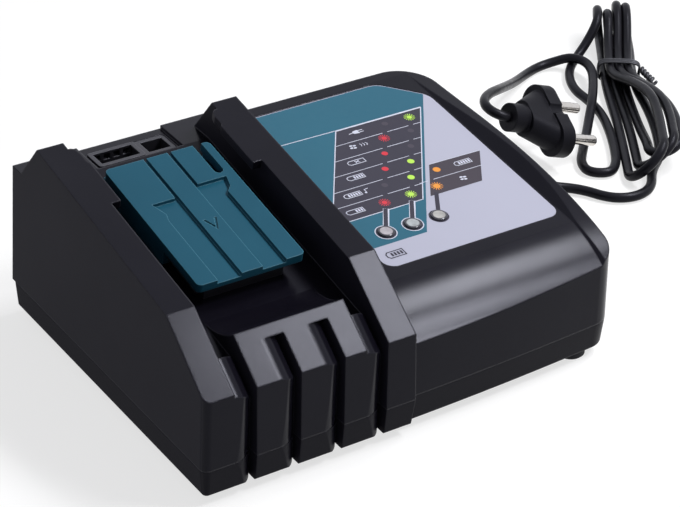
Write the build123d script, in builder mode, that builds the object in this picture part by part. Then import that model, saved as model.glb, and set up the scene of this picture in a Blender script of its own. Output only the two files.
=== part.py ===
"""Desktop charger for slide-on power tool batteries.

The origin is at the middle of the footprint, on the surface that the charger stands on.
X runs along the ribbed front, -Y is the front and +Z is up. All lengths are millimetres.
"""
from build123d import *
from math import atan, cos, pi, radians, sin, tan
import os

os.makedirs("parts", exist_ok=True)

# ---------------------------------------------------------------- housing outline
body_width = 190.0
body_depth = 150.0
tray_bottom = 4.5
parting_height = 16.0
wall = 2.7
clearance = 0.3
roof = 3.0
side_draft = 1.6
body_corner = 3.0
tray_draft = 5.0

left = -body_width / 2
right = body_width / 2
front = -body_depth / 2
rear = body_depth / 2

# ---------------------------------------------------------------- battery bay
bay_width = 91.0
guide_wall = 13.0
guide_top = 84.5
guide_rear = rear - 22.0
guide_slope = 10.3
guide_break = front + 29.0
ramp_foot = guide_top - 40.1
ledge_height = guide_top - 16.7
ledge_start = rear - 8.5
ledge_notch = 1.4
ledge_room = ledge_height - 4.6
rail_depth = 17.1
lip_overhang = 4.0
lip_thickness = 3.6
lip_rear = guide_rear - 4.0
lip_front = guide_rear - 38.0

bay_right = left + bay_width
bay_middle = left + bay_width / 2
rail_left = left + guide_wall
rail_right = bay_right - guide_wall
guide_tan = tan(radians(guide_slope))
guide_cos = cos(radians(guide_slope))
guide_sin = sin(radians(guide_slope))


def guide_height(y):
    """Height of the top of the guide walls, over their long gentle slope."""
    return guide_top - guide_tan * (guide_rear - y)


def deck_height(y):
    """Height of the floor of the battery bay, parallel to the top of the walls."""
    return guide_height(y) - rail_depth


ramp_tan = (guide_height(guide_break) - ramp_foot) / (guide_break - front)
ramp_angle = atan(ramp_tan)


def ramp_height(y):
    """Height of the steep ramp at the front of the bay."""
    return ramp_foot + ramp_tan * (y - front)


deck_end = guide_rear - (guide_top - rail_depth - ledge_height) / guide_tan
deck_plane = Plane(origin=(bay_middle, 0, deck_height(0)), x_dir=(1, 0, 0),
                   z_dir=(0, -guide_sin, guide_cos))

# ---------------------------------------------------------------- ribs of the bay front
pedestal_width = 46.6
rib_count = 3
flute_depth = 6.1
pocket_depth = 7.1
groove_depth = 10.0
groove_step = 1.0
flute_share = 0.5
block_rear = front + 17.7
pocket_rear = front + 13.7
groove_rear = front + 12.6
dish_start = front + 38.0

pedestal_left = bay_middle - pedestal_width / 2
pedestal_right = bay_middle + pedestal_width / 2
rib_pitch = (rail_right - pedestal_left) / rib_count
flute_width = rib_pitch * flute_share

# ---------------------------------------------------------------- indicator side
label_rear_height = guide_top - 20.3
label_slope = 6.0
label_front = front + 27.5
brow_front = front + 4.5
brow_height = guide_top - 44.5
brow_bulge = 3.2
front_setback = 2.3
front_bow = 5.0
corner_radius = 10.0
rear_corner_radius = 18.0
rim_inner = right - 8.4
rim_height = guide_top - 23.1
rim_bevel = 5.6
label_tan = tan(radians(label_slope))
label_sin = sin(radians(label_slope))
label_cos = cos(radians(label_slope))


def label_height(y):
    """Height of the sloping top of the indicator side."""
    return label_rear_height - label_tan * (rear - 1 - y)


label_plane = Plane(origin=(0, 0, label_height(0)), x_dir=(1, 0, 0),
                    z_dir=(0, -label_sin, label_cos))

# ---------------------------------------------------------------- label and lamps
label_left = bay_right + 9.0
label_right = right - 9.0
label_start = front + 34.0
label_end = rear - 7.5
label_thickness = 0.5
label_recess = 0.6
lamp_row = front + 53.7
lamp_first = bay_right + 20.8
lamp_pitch = 12.3
lamp_count = 3
lens_radius = 3.3
lens_collar = 4.6
lens_collar_height = 1.5
lens_bottom = -9.0
lens_crown = 0.7
lamp_board_depth = 12.0
lamp_board_left = bay_right + 12.0
lamp_board_right = lamp_board_left + 44.0
lamp_board_front = lamp_row - 10.7
lamp_board_rear = lamp_row + 11.3
post_radius = 2.2

lamp_places = [lamp_first + lamp_pitch * i for i in range(lamp_count)]
lamp_board_posts = [(lamp_board_left + 3, lamp_board_rear - 3), (lamp_board_right - 3, lamp_board_front + 3)]


def label_shape(margin):
    """Outline of the label in its own sloping plane, grown by a margin."""
    with BuildSketch(Plane.XY) as shape:
        with BuildLine():
            Polyline((label_left, label_start), (label_right, label_start), (label_right, label_end - 16),
                     (label_right - 16, label_end),
                     (label_left, label_end), close=True)
        make_face()
        fillet(shape.vertices().sort_by(Axis.Y)[:2], 5.0)
        fillet(shape.vertices().group_by(Axis.Y)[-1].sort_by(Axis.X)[-1:], 9.0)
        fillet(shape.vertices().group_by(Axis.X)[-1].sort_by(Axis.Y)[-1:], 9.0)
        if margin:
            offset(amount=margin)
    return shape.sketch


# ---------------------------------------------------------------- cooling outlet
guard_left = left + 30.5
guard_right = guard_left + 21.0
vent_right = guard_left + 34.5
vent_front = rear - 18.2
vent_rear = rear - 6.0
guard_wall = 1.8
guard_bars = 3
guard_bar = 1.4
guard_gap = 2.9
duct_top = ledge_height - 6.1

# ---------------------------------------------------------------- sliding cover
cover_width = 45.6
cover_rear = guide_rear - 11.4
cover_front = cover_rear - 72.0
cover_top = 11.9
cover_relief = 1.6
cover_plate = 2.0
skirt_thickness = 2.0
skirt_bottom = 2.0
skirt_front = cover_rear - 46.6
hook_reach = 1.5
hook_thickness = 1.6
rim_strip = 8.2
spine_width = 9.0
pad_front = cover_rear - 25.1
pad_reach = 6.0
vee_base = pad_front - 15.5
slot_width = 3.8
slot_length = 18.5
slot_inset = 3.3

cover_under = cover_top - cover_relief - cover_plate
half_cover = cover_width / 2

# ---------------------------------------------------------------- terminal block
block_front = cover_front + 4.4
block_back = cover_rear - 3.6
spigot_half = 14.0
spigot_front = cover_rear - 29.6
spigot_rear = cover_rear - 7.6
spigot_depth = 4.0
core_width = 34.0
flange_thickness = 2.2
blade_offset = 11.5
blade_thickness = 0.8
blade_height = 4.8
blade_floor = 3.0
blade_start = cover_rear - 19.6
blade_end = cover_rear - 5.6
blade_tail = 6.0
blade_slot = 3.0
signal_offsets = [-7.8, -5.9, 5.9, 7.8]
signal_thickness = 0.5
spring_radius = 2.3
spring_wire = 0.45
spring_turns = 9
spring_front = cover_front + 16.4
spring_height = 5.3
lug_thickness = 3.0
lug_rear = cover_rear - 7.6

# ---------------------------------------------------------------- fan
fan_bottom = tray_bottom + wall + 2.0
fan_size = duct_top - fan_bottom - 2.5
fan_depth = 15.0
fan_x = left + 48.0
fan_front = rear - 33.0
fan_bore = 23.5
fan_hub = 12.0
fan_blades = 7
fan_tip_gap = 0.7
fan_shaft = 1.5
running_clearance = 0.05
duct_wall = 1.5
cradle_wall = 2.0
cradle_height = 9.0
vent_pitch = 5.6
vent_length = 42.0
vent_slot = 2.6

# ---------------------------------------------------------------- circuit boards
board_left = bay_right - 8.0
board_right = right - 21.0
board_front = front + 15.0
board_rear = rear - 11.0
board_base = 20.0
board_thickness = 1.6
board_post = 3.2
board_screw = 1.2
board_points = [(board_left + 6.0, board_front + 8.0), (board_right - 6.0, board_front + 6.0),
                (board_left + 6.0, board_rear - 8.0), (board_right - 8.0, board_rear - 8.0)]

# ---------------------------------------------------------------- fasteners and feet
boss_radius = 4.0
screw_radius = 1.5
screw_pilot = 1.6
screw_head = 3.2
screw_head_height = 2.4
tower_radius = 5.2
tower_seat = 10.0
screw_length = 22.0
tower_points = [(left + 15.0, front + 35.0), (left + 15.0, rear - 37.0),
                (right - 15.0, front + 37.0), (right - 15.0, rear - 49.0)]
foot_radius = 6.0
foot_seat = 1.5
foot_points = [(left + 12.0, front + 15.0), (left + 12.0, rear - 11.0),
               (right - 14.5, front + 15.0), (right - 14.5, rear - 11.0)]

# ---------------------------------------------------------------- mains cord
cord_diameter = 4.4
relief_y = rear - 29.0
relief_length = 26.0
relief_flange = 5.6
relief_inner = 2.5
relief_root = 4.6
relief_neck = 3.8
relief_hole = 3.9
relief_tip = 3.1
relief_socket = 6.0

cord_radius = cord_diameter / 2
relief_plane = Plane(origin=(right - wall, relief_y, parting_height), x_dir=(0, 1, 0),
                     z_dir=(1, 0, 0))


def save(part, name):
    """Name a finished piece and write it to its own file."""
    part.label = name
    export_step(part, f"parts/{name}.step")


# ================================================================ upper housing
guide_profile = [
    (front - 1, 0), (front - 1, ramp_height(front - 1)), (guide_break, guide_height(guide_break)),
    (guide_rear, guide_top), (ledge_start, ledge_height), (rear + 1, ledge_height), (rear + 1, 0),
]

# The battery side: a drafted block under the profile of the guide walls.
with BuildPart() as bay_block:
    with BuildSketch(Plane.XY.offset(parting_height)):
        with Locations((bay_middle, 0)):
            Rectangle(bay_width, body_depth)
    extrude(amount=guide_top, taper=side_draft)
    with BuildSketch(Plane.YZ.offset(left - 1)):
        with BuildLine():
            Polyline(*guide_profile, close=True)
        make_face()
    extrude(amount=bay_width + 2, mode=Mode.INTERSECT)

# Outline of the indicator side, with a bowed front and rounded right corners.
side_front = front + front_setback
with BuildSketch() as label_outline:
    with BuildLine():
        Line((bay_right - 30, side_front), (bay_right, side_front))
        ThreePointArc((bay_right, side_front), ((bay_right + right) / 2, side_front + front_bow * 0.33),
                      (right, side_front + front_bow))
        Line((right, side_front + front_bow), (right, rear))
        Line((right, rear), (bay_right - 30, rear))
        Line((bay_right - 30, rear), (bay_right - 30, side_front))
    make_face()
    fillet(vertices().group_by(Axis.X)[-1].sort_by(Axis.Y)[0], corner_radius)
    fillet(vertices().group_by(Axis.X)[-1].sort_by(Axis.Y)[-1], rear_corner_radius)

# Footprint of the whole body at the parting line.
with BuildSketch() as body_outline:
    add(label_outline.sketch)
    with Locations((bay_middle, 0)):
        Rectangle(bay_width, body_depth)
    fillet(vertices().group_by(Axis.X)[0], body_corner)

# Inside of the body, kept clear of the flutes at the front of the bay.
inside_left = left + wall + 1.1
inside_right = right - wall - 1.1
inside_rear = rear - wall - 1.4
bay_inside_front = front + flute_depth + wall + 1.0
with BuildSketch() as inner_outline:
    with BuildLine():
        Polyline((inside_left, bay_inside_front), (bay_right - wall, bay_inside_front),
                 (bay_right - wall, side_front + wall + 0.7), ((bay_right + right) / 2, side_front + wall + 2.4),
                 (inside_right, side_front + front_bow + wall + 1.4), (inside_right, inside_rear),
                 (inside_left, inside_rear), close=True)
    make_face()
    fillet(vertices().group_by(Axis.X)[-1].sort_by(Axis.Y)[0], corner_radius - wall)
    fillet(vertices().group_by(Axis.X)[-1].sort_by(Axis.Y)[-1], rear_corner_radius - wall)

# The indicator side: a drafted block whose right rim stays high over the sloping top.
with BuildPart() as label_block:
    with BuildSketch(Plane.XY.offset(parting_height)):
        add(label_outline.sketch)
    extrude(amount=guide_top, taper=side_draft)
    with BuildSketch(Plane.YZ.offset(bay_right - 40)):
        with BuildLine():
            Line((rear + 1, 0), (rear + 1, label_rear_height))
            Spline((rear + 1, label_rear_height), (rear - 65, rim_height),
                   (label_front, label_height(label_front) + 0.9), (front + 10.4, brow_height + 5.7),
                   (front - 1, brow_height - 3.5))
            Line((front - 1, brow_height - 3.5), (front - 1, 0))
            Line((front - 1, 0), (rear + 1, 0))
        make_face()
    extrude(amount=body_width, mode=Mode.INTERSECT)
    # The sloping top for the label and the rounded brow at its front.
    with BuildSketch(Plane.YZ.offset(bay_right - 41)) as brow_profile:
        with BuildLine():
            Line((rear + 9, label_height(rear + 9)), (label_front, label_height(label_front)))
            ThreePointArc((label_front, label_height(label_front)),
                          ((label_front + brow_front) / 2 + 0.6,
                           (label_height(label_front) + brow_height) / 2 + brow_bulge * 0.6),
                          (brow_front, brow_height))
            Line((brow_front, brow_height), (front - 9, brow_height - 10))
            Line((front - 9, brow_height - 10), (front - 9, guide_top))
            Line((front - 9, guide_top), (rear + 9, guide_top))
            Line((rear + 9, guide_top), (rear + 9, label_height(rear + 9)))
        make_face()
    extrude(amount=rim_inner - bay_right + 41, mode=Mode.SUBTRACT)
    with BuildSketch(Plane.YZ.offset(rim_inner)):
        add(brow_profile.sketch_local)
    extrude(amount=rim_bevel, taper=42, mode=Mode.SUBTRACT)


def flute(plane, start, end, step, depth):
    """Section of a flute: it curves in from the rib at its left and ends at a sharp wall at its right."""
    with BuildSketch(plane) as section:
        with BuildLine():
            Line((start, -8), (start, step))
            TangentArc((start, step), (end, depth), tangent=(1, 0))
            Line((end, depth), (end, -8))
            Line((end, -8), (start, -8))
        make_face()
    return section.sketch


def slope_plane(y):
    """Section across the steep ramp, with its local Y pointing into the body."""
    return Plane(origin=(0, y, ramp_height(y)), x_dir=(1, 0, 0), z_dir=(0, cos(ramp_angle), sin(ramp_angle)))


down_slope = (0, -cos(ramp_angle), -sin(ramp_angle))
front_plane = Plane(origin=(0, front, 0), x_dir=(1, 0, 0), z_dir=(0, 0, 1))
flute_starts = [pedestal_left + rib_pitch * (i + 1) - flute_width for i in range(rib_count)]

# Flutes down the front of the bay, through the housing and the tray.
with BuildPart() as front_flutes:
    add(flute(front_plane, rail_left, pedestal_left, 0.0, flute_depth))
    for x in flute_starts:
        add(flute(front_plane, x, x + flute_width, 0.0, flute_depth))
    extrude(amount=ramp_height(front + flute_depth) + 3)

# Pockets and grooves down the steep ramp.
with BuildPart() as ramp_pockets:
    for x in flute_starts[:-1]:
        add(flute(slope_plane(pocket_rear), x, x + flute_width, 0.0, pocket_depth))
    extrude(amount=(pocket_rear - front + 8) / cos(ramp_angle), dir=down_slope)
with BuildPart() as ramp_grooves:
    add(flute(slope_plane(groove_rear + 5), rail_left, pedestal_left, groove_step, groove_depth))
    add(flute(slope_plane(groove_rear + 5), flute_starts[-1], rail_right, groove_step, groove_depth))
    extrude(amount=(groove_rear + 5 - front + 8) / cos(ramp_angle), dir=down_slope)

# Rooms inside the housing: under the bay, under the label and up into the guide walls.
with BuildPart() as bay_room:
    with BuildSketch(Plane.XY.offset(parting_height)):
        add(inner_outline.sketch)
    extrude(amount=guide_top)
    with BuildSketch(Plane.YZ.offset(left)):
        with BuildLine():
            Polyline((bay_inside_front - 1, parting_height), (bay_inside_front - 1, ramp_foot - 12.4),
                     (front + 13, ramp_foot - 8.4), (front + 23, deck_height(front + 23) - roof),
                     (deck_end - (ledge_height - roof - ledge_room) / guide_tan, ledge_room),
                     (rear, ledge_room), (rear, parting_height), close=True)
        make_face()
    extrude(amount=bay_width - wall, mode=Mode.INTERSECT)
with BuildPart() as label_room:
    with BuildSketch(Plane.XY.offset(parting_height)):
        add(inner_outline.sketch)
    extrude(amount=guide_top)
    with BuildSketch(Plane.YZ.offset(bay_right - wall)):
        with BuildLine():
            Polyline((front, parting_height), (front, brow_height - 7), (front + 13, brow_height - 0.5),
                     (label_front, label_height(label_front) - roof), (rear, label_height(rear) - roof),
                     (rear, parting_height), close=True)
        make_face()
    extrude(amount=body_width, mode=Mode.INTERSECT)
with BuildPart() as wall_rooms:
    for x in (left + wall + 1.5, rail_right + wall):
        with BuildSketch(Plane.YZ.offset(x)):
            with BuildLine():
                Polyline((front + 15, ramp_foot - 8.4), (front + 15, ramp_height(front + 15) - 4.4),
                         (guide_break - 0.6, guide_height(guide_break) - 3.6),
                         (guide_rear - 3, guide_height(guide_rear - 3) - roof), (guide_rear - 1.3, guide_top - 4.6),
                         (ledge_start - 4.2, ledge_height - 1.5), (ledge_start - 4.2, ledge_room - 2),
                         (rear - 55, deck_height(rear - 55) - 8), close=True)
            make_face()
        extrude(amount=guide_wall - 2 * wall - 1.5)


def roof_over(x, y):
    """Height of the middle of the roof over a point of the inside."""
    return deck_height(y) - roof / 2 if x < bay_right else label_height(y) - roof / 2


with BuildPart() as upper_housing:
    add(bay_block.part)
    add(label_block.part)
    fillet(edges().filter_by(lambda e: e.center().X < left + 2.5 and e.center().Y < front + 2
                             and e.bounding_box().size.Z > 20).sort_by(Axis.X)[0], body_corner)
    # The bay between the guide walls, with its dished front end.
    with BuildSketch(Plane.YZ.offset(rail_left)):
        with BuildLine():
            Line((rear + 2, ledge_height), (deck_end, ledge_height))
            Line((deck_end, ledge_height), (dish_start, deck_height(dish_start)))
            TangentArc((dish_start, deck_height(dish_start)), (block_rear, ramp_height(block_rear)),
                       tangent=(-guide_cos, -guide_sin * 0.2))
            Line((block_rear, ramp_height(block_rear)), (block_rear, guide_top + 2))
            Line((block_rear, guide_top + 2), (rear + 2, guide_top + 2))
            Line((rear + 2, guide_top + 2), (rear + 2, ledge_height))
        make_face()
    extrude(amount=rail_right - rail_left, mode=Mode.SUBTRACT)
    # The ramp between the guide walls, in front of the dish.
    for x, width in ((rail_left, pedestal_left - rail_left), (pedestal_right, rail_right - pedestal_right)):
        with BuildSketch(Plane.YZ.offset(x)):
            with BuildLine():
                Polyline((dish_start + 4, deck_height(dish_start + 4)), (block_rear, deck_height(block_rear)),
                         (groove_rear, ramp_height(groove_rear)), (groove_rear, guide_top),
                         (dish_start + 4, guide_top), close=True)
            make_face()
        extrude(amount=width, mode=Mode.SUBTRACT)
    add(ramp_pockets.part, mode=Mode.SUBTRACT)
    add(ramp_grooves.part, mode=Mode.SUBTRACT)
    add(front_flutes.part, mode=Mode.SUBTRACT)
    # Lips that hold the battery down, at the rear of the guide walls.
    with BuildSketch(Plane(origin=(0, 0, guide_height(0)), x_dir=(1, 0, 0), z_dir=(0, -guide_sin, guide_cos))):
        for x, side in ((rail_left, 1), (rail_right, -1)):
            with BuildLine():
                Polyline((x - side, lip_front / guide_cos), (x + side * lip_overhang, lip_front / guide_cos),
                         (x + side * lip_overhang, (lip_rear - 10) / guide_cos),
                         (x + side * (lip_overhang - 0.8), (lip_rear - 9) / guide_cos),
                         (x + side * (lip_overhang - 0.8), (lip_rear - 4) / guide_cos),
                         (x + side * (lip_overhang - 1.6), lip_rear / guide_cos - 1),
                         (x + side * (lip_overhang - 3), lip_rear / guide_cos), (x - side, lip_rear / guide_cos),
                         close=True)
            make_face()
    extrude(amount=-lip_thickness)
    # Notch and opening of the cooling outlet, behind the bay.
    with BuildSketch(Plane.XY.offset(ledge_height - ledge_notch)):
        with Locations(((guard_left + vent_right) / 2, (deck_end + rear + 2) / 2)):
            Rectangle(vent_right - guard_left + 3, rear + 2 - deck_end)
    extrude(amount=5, mode=Mode.SUBTRACT)
    with BuildSketch(Plane.XY.offset(ledge_room - 4)):
        with Locations(((guard_left + vent_right) / 2, (vent_front + vent_rear) / 2)):
            RectangleRounded(vent_right - guard_left, vent_rear - vent_front, 1.5)
    extrude(amount=12, mode=Mode.SUBTRACT)
    # The inside.
    add(bay_room.part, mode=Mode.SUBTRACT)
    add(label_room.part, mode=Mode.SUBTRACT)
    add(wall_rooms.part, mode=Mode.SUBTRACT)
    # Opening in the deck for the terminal block.
    with BuildSketch(deck_plane.offset(-roof - 3)):
        with Locations((0, (spigot_front + spigot_rear) / 2)):
            Rectangle(2 * (spigot_half + clearance), spigot_rear - spigot_front + 2 * clearance)
    extrude(amount=roof + 5, mode=Mode.SUBTRACT)
    # Shallow seat for the label, and the holes for the lamps.
    with BuildSketch(label_plane.offset(-label_recess)):
        add(label_shape(0.15))
    extrude(amount=8, mode=Mode.SUBTRACT)
    with BuildSketch(label_plane.offset(-12)):
        with Locations([(x, lamp_row) for x in lamp_places]):
            Circle(lens_radius + clearance)
    extrude(amount=14, mode=Mode.SUBTRACT)
    # Screw bosses, and the posts of the lamp board.
    for x, y in tower_points:
        with BuildSketch(Plane.XY.offset(parting_height)):
            with Locations((x, y)):
                Circle(boss_radius)
        extrude(amount=roof_over(x, y) - parting_height)
    with BuildSketch(Plane.XY.offset(parting_height)):
        with Locations(tower_points):
            Circle(screw_pilot)
    extrude(amount=screw_length - tower_seat + 10, mode=Mode.SUBTRACT)
    with BuildSketch(label_plane.offset(-lamp_board_depth)):
        with Locations(lamp_board_posts):
            Circle(post_radius)
    extrude(amount=lamp_board_depth - roof / 2)
    # Half of the hole for the strain relief.
    with BuildSketch(relief_plane):
        Circle(relief_hole)
    extrude(amount=8, both=True, mode=Mode.SUBTRACT)
save(upper_housing.part, "upper_housing")

# ================================================================ lower housing
with BuildPart() as lower_housing:
    with BuildSketch(Plane.XY.offset(parting_height)):
        add(body_outline.sketch)
    extrude(amount=-(parting_height - tray_bottom), taper=tray_draft)
    fillet(faces().group_by(Axis.Z)[0].edges(), 1.0)
    add(front_flutes.part, mode=Mode.SUBTRACT)
    with BuildSketch(Plane.XY.offset(tray_bottom + wall)):
        add(inner_outline.sketch)
    extrude(amount=parting_height, mode=Mode.SUBTRACT)
    # Towers for the screws and posts for the main board.
    with BuildSketch(Plane.XY.offset(tray_bottom + wall)):
        with Locations(tower_points):
            Circle(tower_radius)
    extrude(amount=parting_height - tray_bottom - wall)
    with BuildSketch(Plane.XY.offset(tray_bottom + wall)):
        with Locations(board_points):
            Circle(board_post)
    extrude(amount=board_base - tray_bottom - wall)
    with BuildSketch(Plane.XY.offset(tray_bottom - 1)):
        with Locations(tower_points):
            Circle(screw_head + 0.4)
    extrude(amount=tower_seat - tray_bottom + 1, mode=Mode.SUBTRACT)
    with BuildSketch(Plane.XY.offset(tray_bottom)):
        with Locations(tower_points):
            Circle(screw_radius + clearance)
    extrude(amount=parting_height, mode=Mode.SUBTRACT)
    with BuildSketch(Plane.XY.offset(board_base - 8)):
        with Locations(board_points):
            Circle(board_screw + 0.1)
    extrude(amount=9, mode=Mode.SUBTRACT)
    # Cradle for the fan.
    with BuildSketch(Plane.XY.offset(tray_bottom + wall)):
        with Locations((fan_x, fan_front - clearance - cradle_wall / 2)):
            Rectangle(fan_size + 4, cradle_wall)
    extrude(amount=cradle_height)
    with BuildSketch(Plane.XY.offset(tray_bottom + wall)):
        with Locations((fan_x - 18, (fan_front + inside_rear) / 2), (fan_x + 18, (fan_front + inside_rear) / 2)):
            Rectangle(6, inside_rear - fan_front)
    extrude(amount=fan_bottom - tray_bottom - wall)
    # Seats for the feet, and the slots that let the cooling air in.
    with BuildSketch(Plane.XY.offset(tray_bottom - 1)):
        with Locations(foot_points):
            Circle(foot_radius + 0.15)
    extrude(amount=1 + foot_seat, mode=Mode.SUBTRACT)
    with BuildSketch(Plane.XY.offset(tray_bottom - 1)):
        with Locations((bay_middle, front + 63)):
            with GridLocations(vent_pitch, 1, 9, 1):
                SlotOverall(vent_length, vent_slot, rotation=90)
        with Locations(((board_left + board_right) / 2, front + 67)):
            with GridLocations(vent_pitch * 1.5, 1, 7, 1):
                SlotOverall(vent_length, vent_slot, rotation=90)
    extrude(amount=wall + 2, mode=Mode.SUBTRACT)
    with BuildSketch(relief_plane):
        Circle(relief_hole)
    extrude(amount=8, both=True, mode=Mode.SUBTRACT)
save(lower_housing.part, "lower_housing")

with BuildPart() as rubber_feet:
    with BuildSketch():
        with Locations(foot_points):
            Circle(foot_radius)
    extrude(amount=tray_bottom + foot_seat)
    chamfer(edges().group_by(Axis.Z)[0], 0.8)
save(rubber_feet.part, "rubber_feet")

with BuildPart() as housing_screws:
    with BuildSketch(Plane.XY.offset(tower_seat - screw_head_height)):
        with Locations(tower_points):
            Circle(screw_head)
    extrude(amount=screw_head_height)
    with BuildSketch(Plane.XY.offset(tower_seat)):
        with Locations(tower_points):
            Circle(screw_radius)
    extrude(amount=screw_length)
    with BuildSketch(Plane.XY.offset(tower_seat - screw_head_height)):
        with Locations(tower_points):
            RegularPolygon(1.5, 6)
    extrude(amount=1.4, mode=Mode.SUBTRACT)
save(housing_screws.part, "housing_screws")

# ================================================================ label and lamps
with BuildPart() as indicator_label:
    with BuildSketch(label_plane.offset(-label_recess)):
        add(label_shape(0.0))
        with Locations([(x, lamp_row) for x in lamp_places]):
            Circle(lens_radius + clearance, mode=Mode.SUBTRACT)
    extrude(amount=label_thickness)
save(indicator_label.part, "indicator_label")

lens_names = ["red_lamp_lens", "green_lamp_lens", "amber_lamp_lens"]
for name, x in zip(lens_names, lamp_places):
    with BuildPart() as lamp_lens:
        with BuildSketch(label_plane.offset(lens_bottom)):
            with Locations((x, lamp_row)):
                Circle(lens_radius)
        extrude(amount=lens_crown - lens_bottom)
        fillet(lamp_lens.faces().sort_by(Axis.Z)[-1].edges(), 0.5)
        with BuildSketch(label_plane.offset(-roof * label_cos)):
            with Locations((x, lamp_row)):
                Circle(lens_collar)
        extrude(amount=-lens_collar_height)
    save(lamp_lens.part, name)

with BuildPart() as indicator_board:
    with BuildSketch(label_plane.offset(-lamp_board_depth)):
        with Locations(((lamp_board_left + lamp_board_right) / 2, (lamp_board_front + lamp_board_rear) / 2)):
            RectangleRounded(lamp_board_right - lamp_board_left, lamp_board_rear - lamp_board_front, 1.5)
    extrude(amount=-board_thickness)
save(indicator_board.part, "indicator_board")

with BuildPart() as indicator_leds:
    with BuildSketch(label_plane.offset(-lamp_board_depth)):
        with Locations([(x, lamp_row) for x in lamp_places]):
            Circle(1.9)
    extrude(amount=lamp_board_depth + lens_bottom - clearance)
    fillet(indicator_leds.faces().group_by(Axis.Z)[-1].edges(), 0.9)
save(indicator_leds.part, "indicator_leds")

with BuildPart() as buzzer:
    with BuildSketch(label_plane.offset(-lamp_board_depth - board_thickness)):
        with Locations((lamp_board_left + 14, (lamp_board_front + lamp_board_rear) / 2)):
            Circle(6.0)
            Circle(1.2, mode=Mode.SUBTRACT)
    extrude(amount=-6.0)
save(buzzer.part, "buzzer")

# ================================================================ sliding cover and terminals
with BuildPart() as terminal_cover:
    with BuildSketch(deck_plane.offset(cover_under)):
        with Locations((0, (cover_front + cover_rear) / 2)):
            RectangleRounded(cover_width, cover_rear - cover_front, 2.0)
    extrude(amount=cover_plate)
    # Raised rims, middle spine and finger pads.
    with BuildSketch(deck_plane.offset(cover_under + cover_plate)):
        with Locations((0, (cover_front + cover_rear) / 2)):
            RectangleRounded(cover_width, cover_rear - cover_front, 2.0)
        with BuildLine():
            Polyline((-half_cover + rim_strip, cover_front - 1), (-half_cover + rim_strip, pad_front - 10.5),
                     (-half_cover + rim_strip + 1.0, pad_front - 7), (-half_cover + rim_strip - 1.4, pad_front),
                     (-pad_reach, pad_front), (-pad_reach, cover_rear + 1), (-spine_width / 2, cover_rear + 1),
                     (-spine_width / 2, cover_front - 1), close=True)
        make_face(mode=Mode.SUBTRACT)
        with BuildLine():
            Polyline((half_cover - rim_strip, cover_front - 1), (half_cover - rim_strip, pad_front - 4),
                     (half_cover - rim_strip + 2.4, pad_front - 1.5), (half_cover - rim_strip + 3.8, pad_front + 4),
                     (pad_reach, pad_front + 4), (pad_reach, cover_rear + 1), (spine_width / 2, cover_rear + 1),
                     (spine_width / 2, cover_front - 1), close=True)
        make_face(mode=Mode.SUBTRACT)
    extrude(amount=cover_relief)
    # The V that points the way, cut into the spine.
    with BuildSketch(deck_plane.offset(cover_top - 0.5)):
        with BuildLine():
            Polyline((-2.9, vee_base), (0.0, vee_base - 6.6), (2.9, vee_base), (1.9, vee_base),
                     (0.0, vee_base - 4.4), (-1.9, vee_base), close=True)
        make_face()
    extrude(amount=2, mode=Mode.SUBTRACT)
    with BuildSketch(deck_plane.offset(cover_under - 1)):
        with Locations((half_cover - slot_inset - slot_width / 2, cover_rear - slot_length / 2 + 2)):
            SlotOverall(slot_length + 4, slot_width, rotation=90)
    extrude(amount=cover_plate + cover_relief + 2, mode=Mode.SUBTRACT)
    # Skirts with inward hooks, which run along the shoulders of the terminal block.
    for side in (-1, 1):
        with BuildSketch(deck_plane.offset(skirt_bottom)):
            with Locations((side * (half_cover - skirt_thickness / 2), (skirt_front + cover_rear) / 2)):
                Rectangle(skirt_thickness, cover_rear - skirt_front)
        extrude(amount=cover_under - skirt_bottom)
        with BuildSketch(deck_plane.offset(skirt_bottom)):
            with Locations((side * (half_cover - skirt_thickness - hook_reach / 2), (skirt_front + cover_rear) / 2)):
                Rectangle(hook_reach, cover_rear - skirt_front)
        extrude(amount=hook_thickness)
    # The lug that pushes on the spring.
    with BuildSketch(deck_plane.offset(spring_height - spring_radius)):
        with Locations((0, lug_rear - lug_thickness / 2)):
            Rectangle(2 * spring_radius, lug_thickness)
    extrude(amount=cover_under - spring_height + spring_radius)
save(terminal_cover.part, "terminal_cover")

shoulder_low = skirt_bottom + hook_thickness + clearance
shoulder_half = half_cover - skirt_thickness - clearance
with BuildPart() as power_terminals:
    for side in (-1, 1):
        with BuildSketch(deck_plane.offset(blade_floor)):
            with Locations((side * blade_offset, (blade_start + blade_end) / 2)):
                Rectangle(blade_thickness, blade_end - blade_start)
        extrude(amount=blade_height)
        with BuildSketch(deck_plane.offset(blade_floor)):
            with Locations((side * blade_offset, blade_start + 4)):
                Rectangle(blade_thickness, 4.0)
        extrude(amount=-(blade_floor + blade_tail))
save(power_terminals.part, "power_terminals")

with BuildPart() as signal_contacts:
    for x in signal_offsets:
        with BuildSketch(deck_plane.offset(blade_floor)):
            with Locations((x, (blade_start + blade_end) / 2 + 1)):
                Rectangle(signal_thickness, blade_end - blade_start - 2)
        extrude(amount=blade_height)
        with BuildSketch(deck_plane.offset(blade_floor)):
            with Locations((x, blade_start + 4)):
                Rectangle(signal_thickness, 2.0)
        extrude(amount=-(blade_floor + blade_tail))
save(signal_contacts.part, "signal_contacts")

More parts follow.
